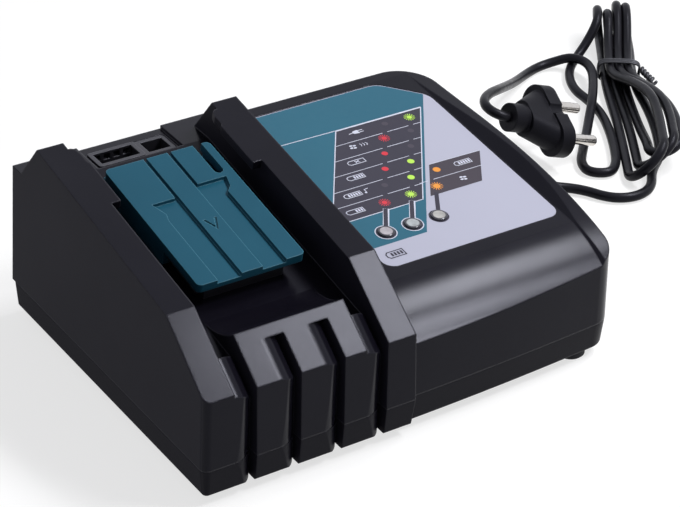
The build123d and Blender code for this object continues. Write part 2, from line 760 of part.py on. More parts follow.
with BuildPart() as terminal_block:
    with BuildSketch(deck_plane):
        with Locations((0, (block_front + block_back) / 2)):
            Rectangle(core_width, block_back - block_front)
    extrude(amount=cover_under - clearance)
    with BuildSketch(deck_plane.offset(shoulder_low)):
        with Locations((0, (block_front + block_back) / 2)):
            Rectangle(2 * shoulder_half, block_back - block_front)
    extrude(amount=flange_thickness)
    with BuildSketch(deck_plane):
        with Locations((0, (spigot_front + spigot_rear) / 2)):
            Rectangle(2 * spigot_half, spigot_rear - spigot_front)
    extrude(amount=-spigot_depth)
    # Channel for the spring, and slots around the blades.
    with BuildSketch(deck_plane.offset(spring_height - spring_radius - 0.6)):
        with Locations((0, (spring_front + block_back - 2) / 2)):
            Rectangle(2 * spring_radius + 1.2, block_back - 2 - spring_front)
    extrude(amount=cover_under, mode=Mode.SUBTRACT)
    with BuildSketch(deck_plane.offset(blade_floor)):
        with Locations((-blade_offset, (blade_start + block_back) / 2), (blade_offset, (blade_start + block_back) / 2)):
            Rectangle(blade_slot, block_back - blade_start + 3)
        with Locations([(x, (blade_start + block_back) / 2) for x in signal_offsets]):
            Rectangle(signal_thickness + 0.8, block_back - blade_start + 1)
    extrude(amount=cover_under, mode=Mode.SUBTRACT)
    add(power_terminals.part, mode=Mode.SUBTRACT)
    add(signal_contacts.part, mode=Mode.SUBTRACT)
save(terminal_block.part, "terminal_block")

spring_length = lug_rear - lug_thickness - spring_front
spring_start = deck_plane.from_local_coords((0, spring_front, spring_height))
spring_way = (0, guide_cos, guide_sin)
coil_way = Vector(*spring_way)
with BuildPart() as cover_spring:
    with BuildLine():
        coil = Helix(pitch=(spring_length - 2 * spring_wire) / spring_turns, height=spring_length - 2 * spring_wire,
                     radius=spring_radius - spring_wire, center=spring_start + coil_way * spring_wire,
                     direction=spring_way)
    with BuildSketch(Plane(origin=coil @ 0, z_dir=coil % 0)):
        RegularPolygon(spring_wire, 6)
    sweep(is_frenet=True)
save(cover_spring.part, "cover_spring")

# ================================================================ cooling
with BuildPart() as air_guard:
    with BuildSketch(Plane.XY.offset(duct_top)):
        with Locations(((guard_left + vent_right) / 2, (vent_front + vent_rear) / 2)):
            Rectangle(vent_right - guard_left + 3, vent_rear - vent_front + 2.4)
    extrude(amount=ledge_room - duct_top)
    with BuildSketch(Plane.XY.offset(duct_top)):
        with Locations(((guard_left + vent_right) / 2, (vent_front + vent_rear) / 2)):
            RectangleRounded(vent_right - guard_left - 2 * clearance, vent_rear - vent_front - 2 * clearance, 1.2)
    extrude(amount=ledge_height - ledge_notch - duct_top)
    with BuildSketch(Plane.XY.offset(duct_top)):
        with Locations(((guard_left + guard_right) / 2, (vent_front + vent_rear) / 2)):
            RectangleRounded(guard_right - guard_left - 2 * clearance, vent_rear - vent_front - 2 * clearance, 1.2)
    extrude(amount=ledge_height - ledge_notch + 0.6 - duct_top)
    # Well with the bars, and the open well beside it.
    with BuildSketch(Plane.XY.offset(duct_top - 1)):
        with Locations(((guard_left + guard_right) / 2, (vent_front + vent_rear) / 2)):
            Rectangle(guard_right - guard_left - 2 * clearance - 2 * guard_wall,
                      vent_rear - vent_front - 2 * clearance - 2 * guard_wall)
        with Locations(((guard_right + guard_wall + vent_right - guard_wall) / 2, (vent_front + vent_rear) / 2)):
            Rectangle(vent_right - guard_right - 2 * guard_wall - clearance,
                      vent_rear - vent_front - 2 * clearance - 2 * guard_wall)
    extrude(amount=12, mode=Mode.SUBTRACT)
    with BuildSketch(Plane.XY.offset(ledge_room + 0.3)):
        with Locations(((guard_left + guard_right) / 2, vent_rear - clearance - guard_wall / 2)):
            with GridLocations(guard_gap + guard_bar, 1, guard_bars + 1, 1):
                Rectangle(guard_gap, guard_wall + 1)
    extrude(amount=2.4, mode=Mode.SUBTRACT)
save(air_guard.part, "air_guard")

fan_middle = fan_bottom + fan_size / 2
fan_plane = Plane(origin=(fan_x, fan_front, fan_middle), x_dir=(1, 0, 0), z_dir=(0, 1, 0))
with BuildPart() as fan_frame:
    with BuildSketch(fan_plane):
        RectangleRounded(fan_size, fan_size, 3)
        Circle(fan_bore, mode=Mode.SUBTRACT)
        with GridLocations(fan_size - 9, fan_size - 9, 2, 2):
            Circle(2.1, mode=Mode.SUBTRACT)
    extrude(amount=fan_depth)
    with BuildSketch(fan_plane.offset(fan_depth - 2.5)):
        Circle(fan_hub)
        with PolarLocations((fan_hub + fan_bore) / 2, 3, start_angle=90):
            Rectangle(fan_bore - fan_hub + 3, 3.0)
    extrude(amount=2.5)
save(fan_frame.part, "fan_frame")

with BuildPart() as fan_motor:
    with BuildSketch(fan_plane.offset(4.5)):
        Circle(fan_hub - 2.6)
        Circle(fan_shaft + running_clearance, mode=Mode.SUBTRACT)
    extrude(amount=fan_depth - 2.5 - 4.5)
save(fan_motor.part, "fan_motor")

with BuildPart() as fan_impeller:
    with BuildSketch(fan_plane.offset(1.2)):
        Circle(fan_hub)
    extrude(amount=10.4)
    with BuildSketch(fan_plane.offset(2.8)):
        Circle(fan_hub - 1.4)
    extrude(amount=12, mode=Mode.SUBTRACT)
    with BuildSketch(fan_plane.offset(2.0)):
        Circle(fan_shaft)
    extrude(amount=9.0)
    fillet(fan_impeller.faces().sort_by(Axis.Y)[0].edges(), 0.8)
    blade_reach = fan_bore - fan_tip_gap - fan_hub + 0.8
    for i in range(fan_blades):
        with Locations(fan_plane.offset(6.4).location * Rotation(0, 0, 360 / fan_blades * i)
                       * Pos(fan_hub - 0.8 + blade_reach / 2, 0, 0) * Rotation(38, 0, 0)):
            Box(blade_reach, 10.5, 1.3)
    with BuildSketch(fan_plane.offset(-4)):
        Circle(fan_bore - fan_tip_gap)
    extrude(amount=22, mode=Mode.INTERSECT)
save(fan_impeller.part, "fan_impeller")

duct_front = fan_front + fan_depth
with BuildPart() as fan_duct:
    with BuildSketch(Plane.XY.offset(fan_bottom)):
        with Locations((fan_x, (duct_front + inside_rear - clearance) / 2)):
            Rectangle(fan_size, inside_rear - clearance - duct_front)
    extrude(amount=duct_top - fan_bottom)
    with BuildSketch(Plane.XY.offset(fan_bottom + duct_wall)):
        with Locations((fan_x, (duct_front + inside_rear - clearance) / 2)):
            Rectangle(fan_size - 2 * duct_wall, inside_rear - clearance - duct_front - 2 * duct_wall)
    extrude(amount=duct_top - fan_bottom - 2 * duct_wall, mode=Mode.SUBTRACT)
    with BuildSketch(Plane.XZ.offset(-duct_front + 1)):
        with Locations((fan_x, fan_middle)):
            Circle(fan_bore)
    extrude(amount=-duct_wall - 2, mode=Mode.SUBTRACT)
    with BuildSketch(Plane.XY.offset(duct_top - duct_wall - 1)):
        with Locations(((guard_left + vent_right) / 2, (vent_front + vent_rear) / 2)):
            Rectangle(vent_right - guard_left - 4, vent_rear - vent_front - 4)
    extrude(amount=4, mode=Mode.SUBTRACT)
save(fan_duct.part, "fan_duct")

# ================================================================ main board and what stands on it
board_top = board_base + board_thickness
with BuildPart() as main_board:
    with BuildSketch(Plane.XY.offset(board_base)):
        with Locations(((board_left + board_right) / 2, (board_front + board_rear) / 2)):
            RectangleRounded(board_right - board_left, board_rear - board_front, 2)
        with Locations(board_points):
            Circle(board_screw + clearance, mode=Mode.SUBTRACT)
    extrude(amount=board_thickness)
save(main_board.part, "main_board")

with BuildPart() as board_screws:
    with BuildSketch(Plane.XY.offset(board_top)):
        with Locations(board_points):
            Circle(2.4)
    extrude(amount=1.6)
    with BuildSketch(Plane.XY.offset(board_top)):
        with Locations(board_points):
            Circle(board_screw)
    extrude(amount=-8.0)
    with BuildSketch(Plane.XY.offset(board_top + 0.8)):
        with Locations(board_points):
            Rectangle(2.6, 0.6)
            Rectangle(0.6, 2.6)
    extrude(amount=1, mode=Mode.SUBTRACT)
save(board_screws.part, "board_screws")

output_y = rear - 51.0
core_leg = 12.0
core_window = 7.0
core_yoke = 6.0
core_depth = 16.0
core_height = 28.0
core_place = (board_left + 44.0, board_rear - 50.0)
with BuildPart() as transformer_core:
    with BuildSketch(Plane.XY.offset(board_top)):
        with Locations(core_place):
            Rectangle(core_leg + 2 * core_window + 16, core_depth)
    extrude(amount=core_height)
    with BuildSketch(Plane.XY.offset(board_top + core_yoke)):
        with Locations(core_place):
            with GridLocations(core_leg + core_window, 1, 2, 1):
                Rectangle(core_window, core_depth + 2)
    extrude(amount=core_height - 2 * core_yoke, mode=Mode.SUBTRACT)
save(transformer_core.part, "transformer_core")

with BuildPart() as transformer_winding:
    with BuildSketch(Plane.XY.offset(board_top + core_yoke + 0.2)):
        with Locations(core_place):
            RectangleRounded(core_leg + 2 * core_window - 0.4, core_depth + 14, 5)
            Rectangle(core_leg, core_depth, mode=Mode.SUBTRACT)
    extrude(amount=core_height - 2 * core_yoke - 0.4)
save(transformer_winding.part, "transformer_winding")

sink_places = [(board_left + 17.5, board_front + 46.0, -1), (board_right - 12.5, board_front + 62.0, 1)]
sink_length = 50.0
sink_height = 16.0
sink_base = 3.0
with BuildPart() as heat_sinks:
    with BuildSketch(Plane.XY.offset(board_top)):
        for x, y, side in sink_places:
            with Locations((x, y)):
                Rectangle(sink_base, sink_length)
            with Locations((x + side * (sink_base / 2 + 2.4), y)):
                with GridLocations(1, 8.0, 1, 6):
                    Rectangle(5.0, 1.4)
    extrude(amount=sink_height)
save(heat_sinks.part, "heat_sinks")

with BuildPart() as power_transistors:
    for x, y, side in sink_places:
        spots = [(x - side * (sink_base / 2 + 2.3), y - 12), (x - side * (sink_base / 2 + 2.3), y + 12)]
        with BuildSketch(Plane.XY.offset(board_top + 2.4)):
            with Locations(spots):
                Rectangle(4.6, 10.2)
        extrude(amount=12.0)
        with BuildSketch(Plane.XY.offset(board_top)):
            with Locations(spots):
                with GridLocations(1, 2.54, 1, 3):
                    Rectangle(0.7, 0.9)
        extrude(amount=2.4)
save(power_transistors.part, "power_transistors")

with BuildPart() as capacitors:
    for x, y, r, h in ((board_left + 56, board_front + 14, 9.0, 22.0), (board_left + 36, board_front + 14, 6.3, 16.0),
                       (board_left + 21, board_front + 12, 5.0, 14.0), (board_left + 48, board_rear - 26, 5.0, 16.0),
                       (board_left + 34, board_rear - 26, 5.0, 16.0)):
        with BuildSketch(Plane.XY.offset(board_top)):
            with Locations((x, y)):
                Circle(r)
        extrude(amount=h)
    caps = capacitors.faces().filter_by(lambda f: f.center().Z > board_top + 10 and f.normal_at().Z > 0.9)
    chamfer(caps.edges(), 0.7)
save(capacitors.part, "capacitors")

with BuildPart() as line_choke:
    with BuildSketch(Plane.XY.offset(board_top)):
        with Locations((board_right - 24, board_rear - 18)):
            Circle(9.0)
            Circle(4.2, mode=Mode.SUBTRACT)
    extrude(amount=8.0)
    fillet(line_choke.edges().group_by(Axis.Z)[-1], 1.8)
save(line_choke.part, "line_choke")

with BuildPart() as fuse_holder:
    with BuildSketch(Plane.XY.offset(board_top)):
        with Locations((board_left + 34, board_rear - 10)):
            Rectangle(26.0, 7.0)
    extrude(amount=2.6)
    with BuildSketch(Plane.YZ.offset(board_left + 23)):
        with Locations((board_rear - 10, board_top + 4.8)):
            Circle(2.6)
    extrude(amount=22.0)
save(fuse_holder.part, "fuse_holder")

with BuildPart() as mains_connector:
    with BuildSketch(Plane.XY.offset(board_top)):
        with Locations((board_right - 7, relief_y)):
            Rectangle(10.0, 14.0)
    extrude(amount=10.0)
    chamfer(mains_connector.edges().group_by(Axis.Z)[-1], 0.8)
save(mains_connector.part, "mains_connector")

with BuildPart() as output_connector:
    with BuildSketch(Plane.XY.offset(board_top)):
        with Locations((board_left + 4, output_y)):
            Rectangle(6.0, 14.0)
    extrude(amount=9.0)
    chamfer(output_connector.edges().group_by(Axis.Z)[-1], 0.6)
save(output_connector.part, "output_connector")

# ================================================================ wires inside the housing


def bend_radii(points, least):
    """Radius of each bend of a route, from the shorter run beside it and the angle of the turn."""
    radii = []
    for before, corner, after in zip(points, points[1:], points[2:]):
        run_in = Vector(*corner) - Vector(*before)
        run_out = Vector(*after) - Vector(*corner)
        half_turn = radians(run_in.get_angle(run_out) / 2)
        radii.append(max(least, 0.45 * min(run_in.length, run_out.length) / tan(half_turn)))
    return radii


def deck_point(x, y, z):
    """Point given in the plane of the bay floor, as a tuple."""
    return tuple(deck_plane.from_local_coords((x, y, z)))


with BuildPart() as terminal_leads:
    for side, end_y in ((-1, output_y - 3), (1, output_y + 3)):
        start = deck_point(side * blade_offset, blade_start + 4, -blade_tail)
        below = deck_point(side * blade_offset, blade_start + 4, -blade_tail - 8)
        route = [start, below, (board_left + 4, end_y, (deck_height(output_y) + board_top) / 2),
                 (board_left + 4, end_y, board_top + 9.0)]
        with BuildLine() as path:
            FilletPolyline(*route, radius=4.0)
        with BuildSketch(Plane(origin=start, z_dir=path.line % 0)):
            Circle(1.2)
        sweep(path=path.line)
save(terminal_leads.part, "terminal_leads")

inner_face = right - wall - 1.1 - relief_inner
with BuildPart() as inner_mains_lead:
    for offset_y in (-1.4, 1.4):
        y = relief_y + offset_y
        route = [(inner_face, y, parting_height), (inner_face - 6, y, parting_height),
                 (inner_face - 10, y, board_top + 5), (board_right - 2, y, board_top + 5)]
        with BuildLine() as path:
            FilletPolyline(*route, radius=2.2)
        with BuildSketch(Plane(origin=route[0], z_dir=(-1, 0, 0))):
            Circle(0.9)
        sweep(path=path.line)
save(inner_mains_lead.part, "inner_mains_lead")

# ================================================================ mains cord
with BuildPart() as cord_strain_relief:
    with BuildSketch(relief_plane.offset(-1.1 - relief_inner)):
        Circle(relief_flange)
    extrude(amount=relief_inner)
    with BuildSketch(relief_plane.offset(-1.1)):
        Circle(relief_neck)
    extrude(amount=wall + 1.1)
    with BuildSketch(relief_plane.offset(wall)):
        Circle(relief_flange)
    extrude(amount=2.0)
    with BuildSketch(relief_plane.offset(wall + 2.0)):
        Circle(relief_root)
    with BuildSketch(relief_plane.offset(wall + relief_length)):
        Circle(relief_tip)
    loft()
    for i in range(5):
        with BuildSketch(relief_plane.offset(wall + 4.5 + 4.0 * i)):
            Circle(relief_flange)
            Circle(relief_root - 0.9 - 0.22 * i, mode=Mode.SUBTRACT)
        extrude(amount=1.6, mode=Mode.SUBTRACT)
    with BuildSketch(relief_plane.offset(wall + relief_length - relief_socket)):
        Circle(cord_radius)
    extrude(amount=relief_socket, mode=Mode.SUBTRACT)
save(cord_strain_relief.part, "cord_strain_relief")

lead_route = [
    (right + relief_length - relief_socket, relief_y, parting_height), (133.0, 46.0, 16.0), (147.0, 44.8, 3.6),
    (160.0, 37.0, 2.5), (166.5, 24.0, 2.4), (176.9, 19.1, 2.4), (188.1, 21.9, 2.4), (197.5, 34.0, 2.4),
    (202.4, 43.5, 3.0),
]
plug_face = Vector(170.3, 70.9, 16.9)
plug_axis = Vector(0.9458, -0.0287, -0.3236).normalized()
pin_line = Vector(0.1618, 0.9054, 0.3925).normalized()
plug_length = 27.0
plug_socket = 6.0
pin_pitch = 19.0
pin_radius = 2.4
pin_length = 19.0
neck_start = plug_face - plug_axis * (plug_length - plug_socket)
plug_route = [
    tuple(neck_start), tuple(neck_start - plug_axis * 14.0), (135.6, 87.0, 29.5), (163.0, 104.0, 17.0),
    (184.0, 126.0, 4.5), (198.0, 137.5, 2.4), (209.0, 141.0, 2.4), (218.5, 140.8, 2.8), (228.6, 136.0, 5.6),
    (233.4, 128.4, 7.0),
]


def cord_tube(route, name):
    """Plain tube of straight runs joined by tangent bends."""
    radii = bend_radii(route, 1.0)
    with BuildPart() as tube:
        with BuildLine() as path:
            FilletPolyline(*route, radius=radii)
        with BuildSketch(Plane(origin=route[0], z_dir=path.line % 0)):
            Circle(cord_radius)
        sweep(path=path.line)
    length = sum(edge.length for edge in path.line.edges())
    section_volume = pi * cord_radius ** 2 * length
    print(name, "length", round(length, 1), "radii", [round(r, 1) for r in radii],
          "volume ratio", round(tube.part.volume / section_volume, 4))
    save(tube.part, name)


cord_tube(lead_route, "power_cord")
cord_tube(plug_route, "plug_lead")

plug_plane = Plane(origin=plug_face, x_dir=pin_line, z_dir=plug_axis)
with BuildPart() as plug_body:
    with BuildSketch(plug_plane):
        SlotOverall(37.0, 17.0)
        with Locations((0, 10.0), (0, -10.0)):
            Circle(3.2, mode=Mode.SUBTRACT)
    extrude(amount=-7.0)
    with BuildSketch(plug_plane.offset(-7.0)):
        SlotOverall(31.0, 14.5)
    with BuildSketch(plug_plane.offset(-19.0)):
        SlotOverall(17.0, 13.6)
    loft()
    with BuildSketch(plug_plane.offset(-18.0)):
        Circle(6.4)
    extrude(amount=18.0 - plug_length)
    with BuildSketch(plug_plane.offset(-plug_length)):
        Circle(cord_radius)
    extrude(amount=plug_socket, mode=Mode.SUBTRACT)
save(plug_body.part, "plug_body")

with BuildPart() as plug_pins:
    with BuildSketch(plug_plane):
        with Locations((-pin_pitch / 2, 0), (pin_pitch / 2, 0)):
            Circle(pin_radius)
    extrude(amount=pin_length)
    tips = plug_pins.faces().filter_by(lambda f: (f.center() - plug_face).dot(plug_axis) > pin_length - 0.01)
    fillet(tips.edges(), 1.2)
save(plug_pins.part, "plug_pins")

hank_way = (0.5577, 0.8301, 0)
hank_plane = Plane(origin=(240.5, 112.3, 0), x_dir=hank_way, z_dir=(0, 0, 1))
hank_side = Plane(origin=(240.5, 112.3, 0), x_dir=hank_way, z_dir=(0.8301, -0.5577, 0))
waist_half = 9.0
waist_low = 1.2
waist_top = 10.0
tie_half = 4.0
tie_thickness = 1.2
with BuildPart() as cord_hank:
    # The bundle: wide at its near end, narrow under the tie, with four folds at its far end.
    with BuildSketch(hank_plane):
        with BuildLine():
            Polyline((-8, -waist_half), (-26, -14.5), (-44, -22), (-60, -24.4), (-74, -24.2), (-84, -20), (-90, -13),
                     (-99.5, -9.5), (-101.5, -3), (-97, 4), (-88, 5), (-75, 4.5), (-56, 6.5), (-32, 8.6),
                     (-8, waist_half), (8, waist_half), (24, 12), (38, 12.3), (48, 9), (53, 0), (57.5, -4),
                     (58.5, -10), (54, -13.5), (40, -14), (24, -13), (8, -waist_half), close=True)
        make_face()
    extrude(amount=40)
    with BuildSketch(hank_side):
        with BuildLine():
            Polyline((-103, 0), (-tie_half - 2, 0), (-tie_half, waist_low), (tie_half, waist_low), (tie_half + 2, 0),
                     (60, 0), (60, 8), (57, 16), (50, 21.5), (36, 22), (26, 17.2), (8, waist_top), (-8, waist_top),
                     (-28, 14.5), (-48, 19), (-66, 20.5), (-85, 21.5), (-96, 17), (-103, 8), close=True)
        make_face()
    extrude(amount=60, both=True, mode=Mode.INTERSECT)
    # The loose loop at its left, flat on the floor.
    with BuildSketch(hank_plane):
        with BuildLine():
            Polyline((24, 9), (8, 19.8), (-6, 20.8), (-18, 18), (-38, 20), (-58, 21.6), (-76, 23.6), (-87, 25),
                     (-94, 20), (-94, 10), (-88, 4), (-75, 4), (-56, 6), (-32, 8), (-8, 8.6), (-8, 11), (8, 11),
                     (8, 8.6), close=True)
        make_face()
        with BuildLine():
            Polyline((-40, 13), (-40, 16), (-58, 17.2), (-74, 19), (-84, 20), (-88, 16.5), (-88, 13.5), (-84, 9.6),
                     (-75, 9.2), (-56, 10.8), close=True)
        make_face(mode=Mode.SUBTRACT)
    extrude(amount=cord_diameter)
    # The strand that climbs over it beside the tie.
    with BuildSketch(hank_plane.offset(cord_diameter - 0.6)):
        with BuildLine():
            Polyline((16, 13.6), (13, 17.8), (4, 15.2), (-8, 15.6), (-24, 18.2), (-26, 14.2), (-8, 11.2), (4, 10.8),
                     close=True)
        make_face()
    extrude(amount=cord_diameter + 1.0)
save(cord_hank.part, "cord_hank")

with BuildPart() as cord_tie:
    with BuildSketch(hank_side):
        with Locations((0, (waist_low + waist_top) / 2)):
            Rectangle(2 * tie_half, waist_top - waist_low + 2 * tie_thickness)
    extrude(amount=waist_half + tie_thickness, both=True)
    with BuildSketch(hank_side):
        with Locations((0, (waist_low + waist_top) / 2)):
            Rectangle(2 * tie_half + 2, waist_top - waist_low)
    extrude(amount=waist_half, both=True, mode=Mode.SUBTRACT)
    with BuildSketch(hank_side.offset(waist_half + tie_thickness)):
        with Locations((-1.2, waist_top - 1.5), (1.4, waist_top - 2.0)):
            Rectangle(2.2, 0.9)
    extrude(amount=11.0)
save(cord_tie.part, "cord_tie")
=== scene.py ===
import math
import bmesh
import bpy
from mathutils import Matrix, Vector


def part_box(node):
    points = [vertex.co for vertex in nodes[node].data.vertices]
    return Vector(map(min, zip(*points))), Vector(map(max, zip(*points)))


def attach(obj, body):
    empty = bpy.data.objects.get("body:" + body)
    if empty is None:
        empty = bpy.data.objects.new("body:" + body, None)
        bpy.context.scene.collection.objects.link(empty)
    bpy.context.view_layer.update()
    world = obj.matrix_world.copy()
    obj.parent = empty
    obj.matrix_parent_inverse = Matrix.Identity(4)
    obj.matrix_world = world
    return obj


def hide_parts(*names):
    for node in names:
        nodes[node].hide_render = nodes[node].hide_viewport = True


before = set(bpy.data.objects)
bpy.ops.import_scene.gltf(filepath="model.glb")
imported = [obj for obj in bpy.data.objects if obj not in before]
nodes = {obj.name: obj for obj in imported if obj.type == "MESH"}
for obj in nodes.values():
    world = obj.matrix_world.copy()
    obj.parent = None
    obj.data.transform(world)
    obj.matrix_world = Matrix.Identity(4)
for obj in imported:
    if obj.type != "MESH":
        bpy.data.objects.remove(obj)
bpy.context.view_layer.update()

# Where the photo's camera stands, in metres, and its turn, tilt and roll in degrees.
CAMERA_PLACE = (-0.45766, -0.69408, 0.55106)
CAMERA_TURN, CAMERA_TILT, CAMERA_ROLL = -33.9842, 58.3613, 2.0972

# Lengths are in mm and are scaled by MM where Blender gets them.
MM = 0.001
# Tint of the reflections on everything but metal.
COOL_SHEEN = (0.85, 0.86, 1.0, 1)

# The waist of the hank on the floor, and the way the bundle runs.
HANK_PLACE = (240.5, 112.3)
HANK_WAY = (0.5577, 0.8301)
CORD_RADIUS = 2.2
FOLD_RADIUS = 10.0

# Wire tie: turns round the waist of the hank, then the two ends twisted together.
TIE_WIRE, TIE_TURNS, TIE_STEPS, TIE_PITCH = 0.55, 3, 28, 1.5
TIE_START, TIE_HALF_WIDTH, TIE_HALF_HEIGHT, TIE_MIDDLE = -2.2, 9.75, 5.15, 5.75
TWIST_WIRE, TWIST_TURNS, TWIST_STEPS, TWIST_FLARE = 0.85, 2.5, 36, 30

# Y and Z of a point on the plane of the label's top, its slope and the step between two layers of ink.
LABEL_REAR = (74.0, 64.1)
LABEL_SLOPE = math.tan(math.radians(6.0))
LABEL_LAYER = 0.012
# The lenses, with Y of their collars and of the rings printed round them.
LENSES = ("red_lamp_lens", "green_lamp_lens", "amber_lamp_lens")
LENS_ROW, RING_ROW = -21.3, -21.19
# Widths of the printed lines, and the inner and outer radius of the rings round the lenses.
BORDER, THIN, SIGN, FRAME = 0.42, 0.3, 0.34, 0.36
STEM, STEM_EDGE = 1.7, 2.5
RING, RING_EDGE = (3.2, 4.05), (3.5, 4.45)


def middle_x(name):
    """X of the middle of a CAD node."""
    low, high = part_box(name)
    return (low[0] + high[0]) / 2 / MM


lens_places = [middle_x(name) for name in LENSES]


# ------------------------------------------------------------------ camera
camera_data = bpy.data.cameras.new("camera")
camera_data.sensor_width = 36.0
camera_data.lens = 133.26
camera = bpy.data.objects.new("camera", camera_data)
bpy.context.scene.collection.objects.link(camera)
camera.matrix_world = Matrix.Translation(CAMERA_PLACE)
for degrees, axis in ((CAMERA_TURN, "Z"), (CAMERA_TILT, "X"), (CAMERA_ROLL, "Z")):
    camera.matrix_world @= Matrix.Rotation(math.radians(degrees), 4, axis)
camera_data.clip_end = 20
bpy.context.scene.camera = camera


# ------------------------------------------------------------------ materials
class Surface:
    """A node material made step by step: colour, roughness and relief in object space."""

    def __init__(self, name, colour, rough=0.5, metal=0.0, specular=0.5, coat=0.0, coat_rough=0.1):
        self.material = bpy.data.materials.new(name)
        self.material.use_nodes = True
        self.tree = self.material.node_tree
        self.shader = self.tree.nodes["Principled BSDF"]
        self.shader.inputs["Base Color"].default_value = (*colour, 1)
        self.shader.inputs["Roughness"].default_value = rough
        self.shader.inputs["Metallic"].default_value = metal
        self.shader.inputs["Specular IOR Level"].default_value = specular
        self.shader.inputs["Coat Weight"].default_value = coat
        self.shader.inputs["Coat Roughness"].default_value = coat_rough
        if metal == 0:
            self.shader.inputs["Specular Tint"].default_value = COOL_SHEEN
        self.colour = (*colour, 1)
        self.rough = rough
        self.place = self.add("ShaderNodeTexCoord").outputs["Object"]
        self.normal = None

    def add(self, kind, **settings):
        node = self.tree.nodes.new(kind)
        for key, value in settings.items():
            setattr(node, key, value)
        return node

    def link(self, output, socket):
        self.tree.links.new(output, socket)

    def stretched(self, stretch):
        """The place in the object, scaled on each axis."""
        if not stretch:
            return self.place
        mapping = self.add("ShaderNodeMapping")
        mapping.inputs["Scale"].default_value = stretch
        self.link(self.place, mapping.inputs["Vector"])
        return mapping.outputs["Vector"]

    def noise(self, scale, detail=3.0, stretch=None):
        node = self.add("ShaderNodeTexNoise")
        node.inputs["Scale"].default_value = scale
        node.inputs["Detail"].default_value = detail
        node.inputs["Roughness"].default_value = 0.55
        self.link(self.stretched(stretch), node.inputs["Vector"])
        return node.outputs["Fac"]

    def spread(self, value, low, high, to_low, to_high):
        """Maps one range of values to another."""
        node = self.add("ShaderNodeMapRange")
        for key, number in zip(("From Min", "From Max", "To Min", "To Max"), (low, high, to_low, to_high)):
            node.inputs[key].default_value = number
        self.link(value, node.inputs["Value"])
        return node.outputs["Result"]

    def mix_colour(self, other, mask):
        """Lays another colour over the colour so far, where the mask is 1."""
        base = self.shader.inputs["Base Color"]
        mix = self.add("ShaderNodeMix", data_type="RGBA")
        mix.inputs["A"].default_value = self.colour
        mix.inputs["B"].default_value = (*other, 1)
        if base.links:
            self.link(base.links[0].from_socket, mix.inputs["A"])
        self.link(mask, mix.inputs["Factor"])
        self.link(mix.outputs["Result"], base)
        return self

    def mottle(self, scale, other, amount):
        """Slow change of colour between the base and another colour."""
        return self.mix_colour(other, self.spread(self.noise(scale), 0.35, 0.7, 0.0, amount))

    def sheen_map(self, scale, amount, stretch=None):
        """Roughness that wanders a little round its mean."""
        value = self.spread(self.noise(scale, detail=4.0, stretch=stretch), 0.3, 0.7,
                            self.rough - amount, self.rough + amount)
        self.link(value, self.shader.inputs["Roughness"])
        return self

    def matt_sides(self, rough):
        """A duller moulded texture on the faces that look along X."""
        geometry = self.add("ShaderNodeNewGeometry")
        along = self.add("ShaderNodeVectorMath", operation="DOT_PRODUCT")
        along.inputs[1].default_value = (1, 0, 0)
        self.link(geometry.outputs["Normal"], along.inputs[0])
        size = self.add("ShaderNodeMath", operation="ABSOLUTE")
        self.link(along.outputs["Value"], size.inputs[0])
        mix = self.add("ShaderNodeMix", data_type="FLOAT")
        self.link(self.spread(size.outputs[0], 0.90, 0.98, 0.0, 1.0), mix.inputs["Factor"])
        self.link(self.shader.inputs["Roughness"].links[0].from_socket, mix.inputs["A"])
        mix.inputs["B"].default_value = rough
        self.link(mix.outputs["Result"], self.shader.inputs["Roughness"])
        return self

    def edges(self, radius, edge_highlight_and_wear=None):
        """Soft edges, with a paler line along them: a painted edge highlight, partly standing for rubbed
        wear.
        """
        bevel = self.add("ShaderNodeBevel", samples=6)
        bevel.inputs["Radius"].default_value = radius
        self.normal = bevel.outputs["Normal"]
        self.link(self.normal, self.shader.inputs["Normal"])
        # Paler colour where the bevel turns the normal: painted edge highlight, partly rubbed wear.
        if edge_highlight_and_wear:
            geometry = self.add("ShaderNodeNewGeometry")
            dot = self.add("ShaderNodeVectorMath", operation="DOT_PRODUCT")
            self.link(self.normal, dot.inputs[0])
            self.link(geometry.outputs["Normal"], dot.inputs[1])
            self.mix_colour(edge_highlight_and_wear, self.spread(dot.outputs["Value"], 0.995, 0.80, 0.0, 0.55))
        return self

    def relief(self, scale, distance, strength, kind="noise", stretch=None):
        """Fine relief over what is there already."""
        if kind == "noise":
            height = self.noise(scale, stretch=stretch)
        else:
            cells = self.add("ShaderNodeTexVoronoi", feature=kind)
            cells.inputs["Scale"].default_value = scale
            self.link(self.stretched(stretch), cells.inputs["Vector"])
            height = cells.outputs["Distance"]
        bump = self.add("ShaderNodeBump")
        bump.inputs["Strength"].default_value = strength
        bump.inputs["Distance"].default_value = distance
        self.link(height, bump.inputs["Height"])
        if self.normal:
            self.link(self.normal, bump.inputs["Normal"])
        self.normal = bump.outputs["Normal"]
        self.link(self.normal, self.shader.inputs["Normal"])
        return self

    def rim(self, centre, radius, dark):
        """Another colour beyond a radius round an upright axis."""
        across = self.add("ShaderNodeVectorMath", operation="MULTIPLY")
        across.inputs[1].default_value = (1, 1, 0)
        self.link(self.place, across.inputs[0])
        distance = self.add("ShaderNodeVectorMath", operation="DISTANCE")
        distance.inputs[1].default_value = (centre[0] * MM, centre[1] * MM, 0)
        self.link(across.outputs["Vector"], distance.inputs[0])
        soft = 0.2
        return self.mix_colour(dark, self.spread(distance.outputs["Value"], (radius - soft) * MM,
                                                 (radius + soft) * MM, 0.0, 1.0))


def dress(surface, *names):
    """Gives CAD nodes a material."""
    for name in names:
        node = nodes[name]
        node.data.materials.clear()
        node.data.materials.append(surface.material)
